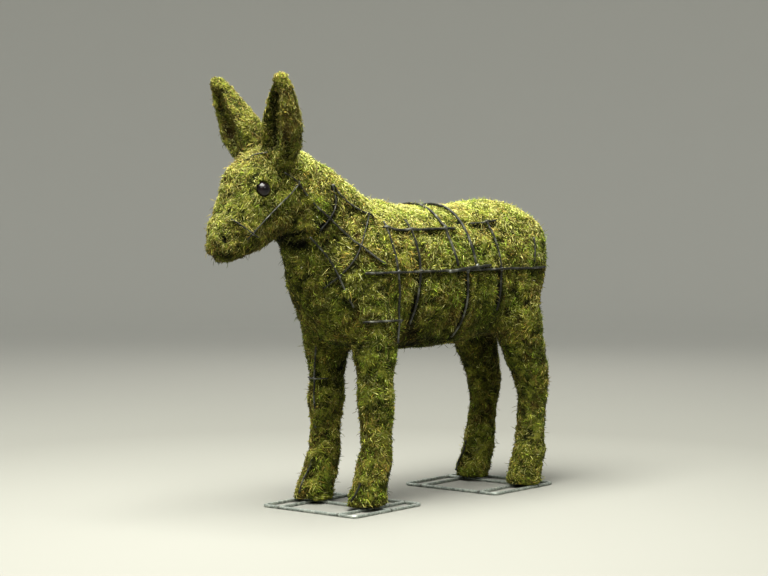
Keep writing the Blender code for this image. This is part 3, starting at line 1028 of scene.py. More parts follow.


# Each dent's gloom is painted shade: the nostril, mouth, folds, throat, ear cups and elbow gap are darkened
# where shade falls, and the belly shade is painted shade alone
HOLLOWS = {
    "nostril": Hollow(((0.026, -0.563, 0.684), (0.033, -0.562, 0.677), (0.041, -0.559, 0.669)), 12.0, 7.0),
    "mouth": Hollow(((0.018, -0.557, 0.632), (0.034, -0.549, 0.628), (0.045, -0.538, 0.630)), 10.0, 9.0),
    "jaw fold": Hollow(
        ((0.028, -0.363, 0.683), (0.046, -0.346, 0.684), (0.060, -0.328, 0.691)),
        depth_mm=9.0, width_mm=9.0, gloom=0.75,
    ),
    "throat": Hollow(
        ((0.0, -0.372, 0.677), (0.022, -0.353, 0.663), (0.037, -0.337, 0.655), (0.049, -0.323, 0.657)),
        depth_mm=14.0, width_mm=17.0,
    ),
    "left ear cup": Hollow(
        ((0.058, -0.431, 0.898), (0.062, -0.428, 0.912), (0.065, -0.428, 0.935))
        + ((0.072, -0.434, 0.964), (0.081, -0.444, 0.991), (0.095, -0.453, 1.016)),
        depth_mm=10.0, width_mm=7.5, gloom=0.6, side=Side.LEFT,
    ),
    "left ear base": Hollow(
        ((0.115, -0.443, 0.922), (0.112, -0.434, 0.906), (0.105, -0.421, 0.887), (0.093, -0.408, 0.869)),
        depth_mm=7.0, width_mm=8.0, gloom=0.7, side=Side.LEFT,
    ),
    "left ear crease": Hollow(
        ((0.133, -0.430, 1.027), (0.130, -0.422, 1.009), (0.128, -0.413, 0.986), (0.126, -0.409, 0.963)),
        depth_mm=4.0, width_mm=4.5, gloom=0.6, side=Side.LEFT,
    ),
    "right ear cup": Hollow(
        ((0.081, -0.433, 0.900), (0.090, -0.435, 0.925), (0.099, -0.440, 0.954))
        + ((0.109, -0.453, 0.993), (0.111, -0.462, 1.016)),
        depth_mm=8.0, width_mm=8.5, gloom=0.55, side=Side.RIGHT,
    ),
    "saddle dip": Hollow(((0.0, 0.030, 0.772), (0.040, 0.024, 0.765)), 10.0, 22.0, 0.0),
    "nose ridge": Hollow(
        ((0.026, -0.500, 0.828), (0.028, -0.519, 0.792), (0.028, -0.534, 0.757), (0.024, -0.549, 0.722)),
        depth_mm=-5.5, width_mm=22.0, gloom=0.0,
    ),
    "elbow gap": Hollow(
        ((0.134, -0.026, 0.514), (0.124, -0.023, 0.481), (0.107, -0.013, 0.447), (0.083, 0.010, 0.420)),
        depth_mm=6.0, width_mm=17.0, gloom=0.7,
    ),
    "belly shade": Hollow(
        ((0.050, 0.020, 0.405), (0.062, 0.060, 0.404), (0.060, 0.100, 0.402), (0.066, 0.150, 0.406)),
        depth_mm=0.0, width_mm=36.0, gloom=0.55,
    ),
}


@dataclass
class Roots:
    """Where sprigs grow: each place, its normal, how high it is in the relief and how sheltered."""

    places: Array
    outward: Array
    relief: Array
    shelter: Array


@dataclass
class Ground:
    """The built moss surface as arrays, for growing sprigs on."""

    places: Array
    outward: Array
    triangles: Array
    tree: BVHTree
    relief: Array
    shelter: Array
    look_from_mm: float = 3.0
    look_aside: float = 0.9
    look_up: float = 0.3
    own_share: float = 0.4  # what a vertex keeps of its own value when it is evened
    pit_share: float = 0.3  # how many sprigs grow in a pit, to one more on a lump

    @classmethod
    def of(cls, mesh: Mesh, relief: Array) -> Ground:
        """Reads the surface of a built piece.

        Args:
            mesh: The piece's mesh.
            relief: How far each vertex stands up from the pits around it, from 0 to 1.

        Returns:
            The surface, with its shelter not measured yet.
        """
        mesh.calc_loop_triangles()
        places, outward = surface_of(mesh)
        triangles = np.empty(len(mesh.loop_triangles) * 3, np.int32)
        mesh.loop_triangles.foreach_get("vertices", triangles)
        triangles = triangles.reshape(-1, 3)
        tree = BVHTree.FromPolygons(places.tolist(), triangles.tolist())
        return cls(places, outward, triangles, tree, relief, np.zeros(len(places)))

    def evened(self, values: Array, rounds: int) -> Array:
        """Averages a value at each vertex with its neighbours.

        Args:
            values: One value for each vertex.
            rounds: How many times.

        Returns:
            The averaged values.
        """
        count = len(self.places)
        a, b = np.concatenate([self.triangles[:, pair] for pair in ([0, 1], [1, 2], [2, 0])]).T
        number = np.bincount(a, minlength=count) + np.bincount(b, minlength=count)
        for _ in range(rounds):
            around = np.bincount(a, values[b], count) + np.bincount(b, values[a], count)
            values = self.own_share * values + (1.0 - self.own_share) * around / np.maximum(number, 1)
        return values

    def measure_shelter(self, reach: float, rays: int, rng: Generator) -> None:
        """Measures how much of the sky over each vertex other moss covers.

        Args:
            reach: How far away a wall still shelters.
            rays: Looks from each vertex.
            rng: The source of chance.
        """
        blocked = np.zeros(len(self.places))
        starts = (self.places + self.outward * self.look_from_mm * MM).tolist()
        for _ in range(rays):
            aside = self.look_aside * unit(rng.normal(size=self.places.shape))
            heading = unit(self.outward + aside + (0.0, 0.0, self.look_up))
            hits = (self.tree.ray_cast(s, h, reach)[0] is not None for s, h in zip(starts, heading.tolist()))
            blocked += np.fromiter(hits, float, len(starts))
        self.shelter = self.evened(blocked / rays, 2)

    def scatter(self, count: int, rng: Generator) -> Roots:
        """Picks places over the surface, more of them on the lumps than in the pits.

        Args:
            count: How many.
            rng: The source of chance.

        Returns:
            The places with what the surface is like there.
        """
        a, b, c = (self.places[self.triangles[:, k]] for k in range(3))
        high = self.pit_share + self.relief[self.triangles].mean(axis=1)
        area = np.linalg.norm(np.cross(b - a, c - a), axis=1) * high
        chosen = self.triangles[rng.choice(len(area), count, p=area / area.sum())]
        share = rng.dirichlet((1.0, 1.0, 1.0), count)
        wide, flat = (self.places, self.outward), (self.relief, self.shelter)
        places, outward = ((values[chosen] * share[:, :, None]).sum(axis=1) for values in wide)
        relief, shelter = ((values[chosen] * share).sum(axis=1) for values in flat)
        return Roots(places, unit(outward), relief, shelter)

    def nearest(self, points: Array) -> tuple[Array, Array]:
        """Finds the place on the surface nearest to each point, and the face normal there."""
        found = [self.tree.find_nearest(p)[:2] for p in points.tolist()]
        return np.array([f[0][:] for f in found]), np.array([f[1][:] for f in found])


@dataclass
class MossPack:
    """The moss that fills the cage: pressed flat at the rods, swollen between them and lumpy all over."""

    node: str = "moss_body"
    name: str = "moss_pack"
    voxel_mm: float = 5.0
    smoothing: int = 5
    merge_mm: float = 0.01
    inset_mm: float = 5.2
    ear_inset_mm: float = 2.2
    ear_tip_from: float = 0.99
    ear_tip_span: float = 0.04
    swell_mm: float = 4.0
    swell_reach_mm: float = 38.0
    lump_mm: float = 46.0
    lump_height_mm: float = 3.0
    tuft_mm: float = 19.0
    tuft_height_mm: float = 3.2
    pit_mm: float = 11.0
    pit_depth_mm: float = 6.5
    pit_from: float = 0.05
    relief_from_mm: float = -4.0
    relief_span_mm: float = 6.5
    cushion_at_mm: float = 19.0
    cushion_width_mm: float = 11.0
    rod_reach_mm: float = 16.0  # a rod farther out than this leaves no mark
    covered_hold: float = 1.15
    covered_width: float = 2.0
    strip_rise: float = 0.25
    groove_width: float = 1.3
    sole: float = 0.0086
    eye_gap_mm: float = 0.8
    eye_flat_mm: float = 27.0
    eye_inset: float = 0.3
    lid_at_mm: float = 24.0
    lid_width_mm: float = 4.5
    lid_height_mm: float = 2.4
    shelter_mm: float = 120.0
    shelter_rays: int = 12
    shelter_seed: int = 7
    # How much of a dent's painted shade joins the shelter
    hollow_shelter: float = 0.95

    def remeshed(self, source: Object) -> Object:
        """Copies the plain body on an even fine grid.

        Args:
            source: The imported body.

        Returns:
            The new object, still smooth.
        """
        mesh = source.data.copy()
        joined = bmesh.new()
        joined.from_mesh(mesh)
        bmesh.ops.remove_doubles(joined, verts=joined.verts, dist=self.merge_mm * MM)
        joined.to_mesh(mesh)
        joined.free()
        rough = placed("moss_rough", mesh)
        fuse = rough.modifiers.new("fuse", "REMESH")
        fuse.mode = "VOXEL"
        fuse.voxel_size = self.voxel_mm * MM
        rough.modifiers.new("ease", "SMOOTH").iterations = self.smoothing
        fine = bpy.data.meshes.new_from_object(rough.evaluated_get(bpy.context.evaluated_depsgraph_get()))
        bpy.data.objects.remove(rough)
        fine.name = self.name
        fine.materials.clear()
        return placed(self.name, fine)

    def at_rods(self, rise: Array, points: Array, outward: Array, strip: Strip) -> tuple[Array, Array]:
        """Shapes the moss to the rods: level with them in a strip, swollen beside it, over them in places.

        Args:
            rise: How far the moss stands out where no rod is near, in metres.
            points: Places on the plain surface.
            outward: The normals there.
            strip: The rods' points.

        Returns:
            How far the moss stands out everywhere, and how dark the painted shade in the grooves along the
            rods is.
        """
        index, gap = strip.nearest(points)
        height = ((strip.places[index] - points) * outward).sum(axis=1)
        aside = np.sqrt(np.maximum(gap**2 - height**2, 0.0))
        near = (height > 0.0) & (height < self.rod_reach_mm * MM)
        covered = strip.hidden[index]
        width = strip.width[index]
        share = bell(aside, width * np.where(covered, self.covered_width, 1.0)) * near
        held = np.where(covered, self.covered_hold, strip.hold[index])
        level = height + (2.0 * held - 1.0) * strip.radius[index]
        beside = bell(aside - self.cushion_at_mm * MM, self.cushion_width_mm * MM) * near
        rise = rise + strip.cushion[index] * beside
        # Painted shade along each rod that the moss leaves bare
        groove = bell(aside, self.groove_width * width) * near * ~covered
        level += self.strip_rise * (rise + self.inset_mm * MM)
        return rise * (1.0 - share) + level * share, strip.gloom[index] * groove

    def at_eyes(self, rise: Array, points: Array, eyes: Eyes) -> Array:
        """Lays the moss flat round each eye, with a low lid about it.

        Args:
            rise: How far the moss stands out elsewhere, in metres.
            points: Places on the plain surface.
            eyes: The eyes.

        Returns:
            How far it stands out everywhere.
        """
        for middle, _ in eyes:
            away = np.linalg.norm(points - middle, axis=1) / MM
            flat = bell(away, self.eye_flat_mm, 4)
            lid = bell(away - self.lid_at_mm, self.lid_width_mm) * self.lid_height_mm
            rise = rise * (1.0 - flat) + (lid - self.inset_mm * self.eye_inset) * MM * flat
        return rise

    def build(self, source: Object, strip: Strip, eyes: Eyes, finish: SheetMoss) -> Ground:
        """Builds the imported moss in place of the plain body.

        Args:
            source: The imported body.
            strip: The rods' points.
            eyes: The eyes.
            finish: The moss's finish.

        Returns:
            The surface of the built piece.
        """
        made = self.remeshed(source)
        mesh = made.data
        places, outward = surface_of(mesh)
        _, gap = strip.nearest(places)
        pits = ramp(layered_noise(places, self.pit_mm, 23, 2), self.pit_from, 1.0)
        fine = self.tuft_height_mm * layered_noise(places, self.tuft_mm, 11, 2) - self.pit_depth_mm * pits
        rise = fine - self.inset_mm
        rise += self.swell_mm * (1.0 - bell(gap, self.swell_reach_mm * MM))
        rise += self.lump_height_mm * layered_noise(places, self.lump_mm, 3, 2)
        rise -= self.ear_inset_mm * ramp(places[:, 2], self.ear_tip_from, self.ear_tip_span)
        rise, groove = self.at_rods(rise * MM, places, outward, strip)
        rise = self.at_eyes(rise, places, eyes)
        # hollow gathers the painted shade laid in the dents and in the grooves along the rods
        hollow = np.zeros(len(places))
        for dent in HOLLOWS.values():
            share = dent.share(places)
            rise -= dent.depth_mm * MM * share
            hollow = np.maximum(hollow, dent.gloom * share)
        hollow = np.maximum(hollow, groove)
        places = places + outward * rise[:, None]
        for middle, radius in eyes:
            places = pushed_out(places, middle, radius + self.eye_gap_mm * MM)
        places[:, 2] = np.maximum(places[:, 2], self.sole)
        mesh.vertices.foreach_set("co", places.ravel())
        mesh.polygons.foreach_set("use_smooth", np.ones(len(mesh.polygons), bool))
        mesh.materials.append(finish.material())
        mesh.update()
        # Painted shade: dents and grooves lower the relief, so they take the dark colour of the pits
        ground = Ground.of(mesh, ramp(fine, self.relief_from_mm, self.relief_span_mm) * (1.0 - hollow))
        chance = default_rng(self.shelter_seed)
        ground.measure_shelter(self.shelter_mm * MM, self.shelter_rays, chance)
        # Painted shade: the darkness of dents and grooves joins the shelter, which darkens the moss and its
        # sprigs
        ground.shelter = np.maximum(ground.shelter, self.hollow_shelter * hollow)
        # The moss's colour attribute: its relief, the painted shade of shelter, the painted shade of dents
        # and grooves, and 1
        shade = [ground.evened(ground.relief, 1), ground.shelter, hollow, np.ones(len(places))]
        paint(mesh, finish.attribute, np.stack(shade, axis=1))
        settle(made, "moss", self.node)
        return ground


@dataclass(frozen=True)
class Tint:
    """One colour of moss and how common it is: everywhere, and as much more in each kind of place."""

    colour: str
    everywhere: float
    painted_top_light: float = 0.0
    green: float = 0.0
    warm: float = 0.0
    leg: float = 0.0
    face: float = 0.0
    ear_tip: float = 0.0
    sheltered: float = 0.0
    face_loss: float = 0.0

    def weight(self, where: dict[str, Array]) -> Array:
        """Tells how common the colour is.

        Args:
            where: How far each sprig is in each kind of place, from 0 to 1.

        Returns:
            One weight for each sprig.
        """
        total = self.everywhere + sum(getattr(self, kind) * share for kind, share in where.items())
        return total * (1.0 - self.face_loss * where["face"])


TINTS = {
    # Painted light: the pale lemon tint goes mostly on sprigs that face up
    "lemon": Tint("#C8C67C", 0.14, painted_top_light=0.60),
    "olive": Tint("#959C2A", 0.34, green=0.08),
    "leaf": Tint("#6E8F18", 0.12, green=0.60, face_loss=0.4),
    "straw": Tint("#C4B25E", 0.09, warm=0.22, leg=0.04, face=0.14, ear_tip=0.12),
    "rust": Tint("#8C6628", 0.04, warm=0.33, leg=0.05, ear_tip=0.30),
    # Painted shade: the dark tint is laid more where the moss is sheltered; it is also laid more on the legs
    "dark": Tint("#36420A", 0.06, leg=0.10, sheltered=0.10),
}


@dataclass(frozen=True)
class MossTints:
    """How the greens, straws and rusts of one load of sheet moss mix, and how light each sprig is, with
    painted light on the tops and painted shade underneath, in the pits and where it is sheltered.
    """

    leg_top: float = 0.40
    leg_span: float = 0.12
    ear_tip_from: float = 1.01
    ear_tip_span: float = 0.05
    patch_mm: float = 58.0
    green_patch: float = 0.8
    patch_edge: float = 3.0
    warm_level: float = 0.4
    green_level: float = 0.45
    green_off_warm: float = 0.6
    top_light_off_leg: float = 0.7
    own_share: float = 0.65  # what a sprig keeps of its own colour; the rest is the mean where it grows
    mean_share: float = 0.35
    face_calm: float = 0.35
    spread: float = 0.46
    spread_most: float = 1.55
    spread_calm: float = 1.05
    spread_sheltered: float = 0.35
    lift: float = 0.10
    face_loss: float = 0.27
    head_loss: float = 0.12
    head_from: float = 0.88
    head_span: float = 0.04
    thigh_loss: float = 0.16
    thigh_from: float = 0.30
    thigh_top: float = 0.52
    thigh_span: float = 0.10
    clump_mm: float = 11.0
    clump_share: float = 0.85
    tuft_mm: float = 27.0
    tuft_share: float = 0.30
    lump_calm: float = 0.75
    lump_least: float = 0.25
    # Painted shade in the pits, less of it on the tops and the face
    depth: float = 0.88
    depth_calm: float = 0.60
    depth_top: float = 1.06
    # Painted shade where other moss shelters the sprig from the sky
    shelter_loss: float = 0.80
    # Painted shade on the undersides: a sprig facing down gets under, one facing up gets under + over
    under: float = 0.54
    over: float = 0.49
    brightest: float = 0.9

    def choose(self, roots: Roots, rng: Generator) -> Array:
        """Gives each sprig its colour, with painted light on the tops and painted shade underneath, in the
        pits and where it is sheltered.

        Args:
            roots: Where the sprigs grow.
            rng: The source of chance.

        Returns:
            Linear colours, one to a row.
        """
        places, shelter, rise = roots.places, roots.shelter, roots.outward[:, 2]
        count, height = len(places), places[:, 2]
        # How much each sprig faces up, for the painted light on the tops
        top = np.clip(rise * 0.9 + 0.25, 0.0, 1.0)
        leg = ramp(-height, -self.leg_top, self.leg_span)
        face = face_share(places)
        warm = layered_noise(places, self.patch_mm, 41) * self.patch_edge + self.warm_level
        green = layered_noise(places, self.patch_mm * self.green_patch, 51) * self.patch_edge
        warm, green = np.clip(warm, 0.0, 1.0), np.clip(green + self.green_level, 0.0, 1.0)
        where = {
            "painted_top_light": top * (1.0 - self.top_light_off_leg * leg),
            "green": green * (1.0 - self.green_off_warm * warm),
            "warm": warm,
            "leg": leg,
            "face": face,
            "ear_tip": ramp(height, self.ear_tip_from, self.ear_tip_span),
            "sheltered": shelter,
        }
        weights = np.stack([tint.weight(where) for tint in TINTS.values()], axis=1)
        weights /= weights.sum(axis=1, keepdims=True)
        kind = (rng.random((count, 1)) > np.cumsum(weights, axis=1)).sum(axis=1)
        palette = np.array([linear(tint.colour)[:3] for tint in TINTS.values()])
        own = palette[np.minimum(kind, len(TINTS) - 1)] * self.own_share
        own += (weights @ palette) * self.mean_share
        calm = np.clip(top + self.face_calm * face, 0.0, 1.0)
        uneven = self.spread_most - self.spread_calm * calm + self.spread_sheltered * shelter
        uneven *= self.spread
        light = np.exp(rng.normal(0.0, 1.0, count) * uneven - uneven**2 / 2 + self.lift)
        light *= 1.0 - self.face_loss * face - self.head_loss * ramp(height, self.head_from, self.head_span)
        thigh = ramp(places[:, 1], self.thigh_from, self.thigh_span)
        light *= 1.0 - self.thigh_loss * thigh * ramp(-height, -self.thigh_top, self.thigh_span)
        lumps = self.clump_share * soft_noise(places, self.clump_mm, 61)
        lumps += self.tuft_share * soft_noise(places, self.tuft_mm, 67)
        light *= np.maximum(1.0 + lumps * (1.0 - self.lump_calm * calm), self.lump_least)
        # Painted shade: sprigs in the pits are darker, and sheltered ones darker still
        depth = self.depth - self.depth_calm * calm
        light *= (1.0 - self.shelter_loss * shelter) * (self.depth_top - depth + depth * roots.relief)
        # Painted shade: sprigs that face down are darker
        light *= self.under + self.over * np.clip(rise + 0.75, 0.0, 1.0)
        return np.clip(own * light[:, None], 0.0, self.brightest)


class SprigShape(Enum):
    """What a sprig is made as, by its number of faces."""

    STEM = 12
    NEEDLE = 6
    LEAF = 4


@dataclass(frozen=True)
class Growth:
    """How one kind of sprig grows from the moss."""

    name: str
    shape: SprigShape
    seed: int
    count: int
    length_mm: tuple[float, float]
    width_mm: tuple[float, float]
    lift_deg: tuple[float, float]
    curl_deg: float
    height_mm: tuple[float, float] | None = None  # for a creeping kind, how high it lies


@dataclass
class SprigCoat:
    """The loose outer coat: creeping stems, standing sprigs, small leaves and a few long wisps."""

    tints: MossTints
    ground: Ground
    strip: Strip
    eyes: Eyes
    sole: float = 0.011
    root_mm: float = 1.2
    rod_gap_mm: float = 1.1
    over_rod_share: float = 0.21
    over_rod: float = 0.35
    eye_gap_mm: float = 0.8
    eye_clear_mm: float = 1.2
    eye_zone: float = 0.05
    eye_facing: tuple[float, float] = (-0.25, 0.1)
    comb_mm: float = 46.0
    comb_spread_deg: float = 42.0
    comb_fall: float = 0.25
    down_face: tuple[float, float, float] = (0.0, -0.55, -0.85)
    face_top: float = 0.89
    ear_height: float = 0.90
    ear_span: float = 0.05
    ear_shorter: float = 0.35
    droop_deg: tuple[float, float] = (5.0, 55.0)
    first_height: float = 0.6
    seeds: int = 900

    def headings(self, roots: Roots, rng: Generator) -> tuple[Array, Array]:
        """Gives each sprig a way to lie: combed with its neighbours, and down the face on the head.

        Args:
            roots: Where the sprigs grow.
            rng: The source of chance.

        Returns:
            Unit headings in the surface, and the unit sideways directions.
        """
        places, outward = roots.places, roots.outward
        comb = np.stack([soft_noise(places, self.comb_mm, 71 + k) for k in range(3)], axis=1)
        comb[:, 2] -= self.comb_fall
        face = face_share(places) * (places[:, 2] < self.face_top)
        comb += face[:, None] * self.down_face
        along = unit(comb - outward * (comb * outward).sum(axis=1, keepdims=True))
        side = np.cross(outward, along)
        turn = rng.normal(0.0, math.radians(self.comb_spread_deg), len(places))[:, None]
        heading = along * np.cos(turn) + side * np.sin(turn)
        return heading, np.cross(outward, heading)

    def paths(self, growth: Growth, roots: Roots, rng: Generator) -> Array:
        """Draws each sprig's centre line.

        Args:
            growth: Its kind.
            roots: Where the sprigs grow.
            rng: The source of chance.

        Returns:
            Four points for each sprig, root first.
        """
        outward, count = roots.outward, growth.count
        heading, side = self.headings(roots, rng)
        length = rng.uniform(*growth.length_mm, count)[:, None] * MM
        length *= 1.0 - self.ear_shorter * ramp(roots.places[:, 2:], self.ear_height, self.ear_span)
        lift = np.radians(rng.uniform(*growth.lift_deg, count))[:, None]
        curl = rng.normal(0.0, math.radians(growth.curl_deg), count)[:, None]
        droop = np.radians(rng.uniform(*self.droop_deg, count))[:, None]
        line = [roots.places - outward * self.root_mm * MM]
        for step in range(3):
            turn, rise = curl * (step - 1) / 1.5, lift - droop * step / 2
            flat = heading * np.cos(turn) + side * np.sin(turn)
            line.append(line[-1] + (flat * np.cos(rise) + outward * np.sin(rise)) * length / 3)
        paths = np.stack(line, axis=1)
        if growth.height_mm:
            low, high = growth.height_mm
            heights = rng.uniform(low, high, (count, 3)) * MM
            heights[:, 0] = heights[:, 0] * self.first_height + (1.0 - self.first_height) * low * MM
            for step in (1, 2, 3):
                near, normal = self.ground.nearest(paths[:, step])
                paths[:, step] = near + normal * heights[:, step - 1, None]
        return paths

    def kept(self, paths: Array, roots: Roots, rng: Generator) -> tuple[Array, Array]:
        """Parts the sprigs at rods and eyes.

        Args:
            paths: Four points for each sprig.
            roots: Where the sprigs grow.
            rng: The source of chance.

        Returns:
            The adjusted paths, and True for each sprig that stays.
        """
        stays = np.ones(len(paths), bool)
        bold = rng.random(len(paths)) < self.over_rod_share
        for step in (1, 2, 3):
            index, away = self.strip.nearest(paths[:, step])
            place, wanted = self.strip.places[index], self.strip.radius[index] + self.rod_gap_mm * MM
            aside = unit(paths[:, step] - place)
            near = away < wanted
            over = near & ((aside * roots.outward).sum(axis=1) > self.over_rod)
            stays &= ~over | bold | self.strip.hidden[index]
            paths[near, step] = (place + aside * wanted[:, None])[near]
        for middle, radius in self.eyes:
            facing = unit(np.array([math.copysign(1.0, middle[0]), *self.eye_facing]))
            away = paths - middle
            ahead = away @ facing
            across = np.linalg.norm(away - ahead[..., None] * facing, axis=2)
            before = ((ahead > 0.0) & (across < radius - self.eye_clear_mm * MM)).any(axis=1)
            stays &= ~before | (np.linalg.norm(away, axis=2).min(axis=1) > self.eye_zone)
            paths = pushed_out(paths, middle, radius + self.eye_gap_mm * MM)
        stays &= paths[:, :, 2].min(axis=1) > self.sole
        return paths, stays

    @staticmethod
    def spindles(
        paths: Array, width: Array, rings: int, rng: Generator
    ) -> tuple[Array, Array, Array]:
        """Makes thin bent spindles with three sides.

        Args:
            paths: Four points for each.
            width: The greatest width of each, in metres.
            rings: Two rings of corners for a smooth bend, or one for a short needle.
            rng: The source of chance.

        Returns:
            Vertices, triangles, and for one spindle's corners how bright each is: painted shade at the root
            and painted light towards the tip.
        """
        run = unit(paths[:, 2] - paths[:, 1])
        side = unit(np.cross(run, unit(rng.normal(size=(len(paths), 3)))))
        up = np.cross(run, side)
        turn = np.array([0.0, 2.1, 4.2])
        around = side[:, None] * np.cos(turn)[:, None] + up[:, None] * np.sin(turn)[:, None]
        around = around * (width[:, None, None] / 2)
        # Painted shade and light along each spindle: dark at the root, lighter towards the tip
        if rings == 2:
            middle = [paths[:, 1, None] + around, paths[:, 2, None] + around * 0.85]
            shade = [0.55] + [0.9] * 3 + [1.05] * 3 + [1.2]
        else:
            middle = [(paths[:, 1, None] + paths[:, 2, None]) / 2 + around]
            shade = [0.55] + [1.0] * 3 + [1.2]
        corners = np.concatenate([paths[:, :1], *middle, paths[:, 3:]], axis=1)
        tip = 3 * rings + 1
        one = []
        for a, b in ((1, 2), (2, 3), (3, 1)):
            one.append((0, b, a))
            if rings == 2:
                one += [(a, b, b + 3), (a, b + 3, a + 3)]
            one.append((tip, a + tip - 4, b + tip - 4))
        return *repeated(corners, one), np.array(shade)

    @staticmethod
    def leaves(paths: Array, width: Array, rng: Generator) -> tuple[Array, Array, Array]:
        """Makes small keeled leaves of four faces.

        Args:
            paths: Four points for each.
            width: The greatest width of each, in metres.
            rng: The source of chance.

        Returns:
            Vertices, triangles, and for one leaf's corners how bright each is: painted shade at the root and
            painted light at the tip.
        """
        run = unit(paths[:, 3] - paths[:, 0])
        side = unit(np.cross(run, unit(rng.normal(size=(len(paths), 3)))))
        keel = np.cross(side, run) * (width[:, None] * 0.3)
        side = side * (width[:, None] / 2)
        middle = (paths[:, 1] + paths[:, 2]) / 2
        corners = np.stack([paths[:, 0], middle + side + keel, middle - side + keel, paths[:, 3]], axis=1)
        one = [(0, 1, 3), (0, 3, 2), (0, 2, 1), (1, 2, 3)]
        return *repeated(corners, one), np.array([0.62, 1.0, 0.95, 1.15])

    def build(self, growth: Growth, attribute: str, material: Material) -> None:
        """Builds one kind of sprig as one piece.

        Args:
            growth: The kind.
            attribute: Where the material looks for each sprig's tint.
            material: The sprigs' material.
        """
        rng = default_rng(self.seeds + growth.seed)
        roots = self.ground.scatter(growth.count, rng)
        paths, stays = self.kept(self.paths(growth, roots, rng), roots, rng)
        tint = self.tints.choose(roots, rng)[stays]
        width = (rng.uniform(*growth.width_mm, growth.count) * MM)[stays]
        if growth.shape is SprigShape.LEAF:
            vertices, faces, shade = self.leaves(paths[stays], width, rng)
        else:
            rings = 2 if growth.shape is SprigShape.STEM else 1
            vertices, faces, shade = self.spindles(paths[stays], width, rings, rng)
        shells = Shells()
        shells.add(vertices, faces)
        piece = shells.piece(growth.name, material)
        colour = np.ones((len(tint), len(shade), 4))
        # Each corner gets the sprig's tint times its painted shade or light
        colour[:, :, :3] = tint[:, None] * shade[None, :, None]
        paint(piece.data, attribute, colour)
        self.lay_out(piece.data, len(tint), growth.shape.value)
        settle(piece, "moss")

    @staticmethod
    def lay_out(mesh: Mesh, sprigs: int, faces: int) -> None:
        """Lays the faces out flat, each sprig in a square of its own.

        Args:
            mesh: The built sprigs.
            sprigs: How many there are.
            faces: How many faces each has.
        """
        across, inner = math.ceil(math.sqrt(sprigs)), math.ceil(math.sqrt(faces))
        number, face = np.arange(sprigs), np.arange(faces)
        square = np.stack([number % across, number // across], axis=1)[:, None, None] / across
        cell = np.stack([face % inner, face // inner], axis=1)[None, :, None] / (inner * across)
        corner = np.array([(0.08, 0.08), (0.92, 0.08), (0.5, 0.92)])[None, None] / (inner * across)
        layer = mesh.uv_layers.new(name="OFBake")
        layer.data.foreach_set("uv", (square + cell + corner).astype(np.float32).ravel())


STEM, NEEDLE, LEAF = SprigShape
GROWTHS = (
    Growth("moss_stems_upper", STEM, 1, 16200, (16.0, 32.0), (1.3, 2.1), (0.0, 20.0), 38.0, (0.5, 4.6)),
    Growth("moss_stems_lower", NEEDLE, 2, 32500, (9.0, 19.0), (1.4, 2.4), (0.0, 25.0), 60.0, (0.0, 4.0)),
    Growth("moss_sprigs", NEEDLE, 3, 26000, (7.0, 13.0), (1.3, 2.1), (25.0, 78.0), 50.0),
    Growth("moss_leaves", LEAF, 4, 48000, (5.0, 10.0), (1.5, 2.5), (0.0, 65.0), 30.0),
    Growth("moss_wisps", STEM, 5, 2600, (11.0, 26.0), (1.0, 1.7), (22.0, 80.0), 60.0),
)


# ------------------------------------------------------------------ studio


@dataclass(frozen=True)
class Panel:
    """One soft square light: where it hangs, what it faces, its side in metres and its power in watts."""

    name: str
    place: tuple[float, float, float]
    aim: tuple[float, float, float]
    size: float
    power: float
    colour: str

    def hang(self) -> None:
        """Hangs the light."""
        data = bpy.data.lights.new(self.name, "AREA")
        data.size, data.energy, data.color = self.size, self.power, linear(self.colour)[:3]
        made = placed(self.name, data)
        made.location = self.place
        made.rotation_euler = (Vector(self.aim) - Vector(self.place)).to_track_quat("-Z", "Y").to_euler()


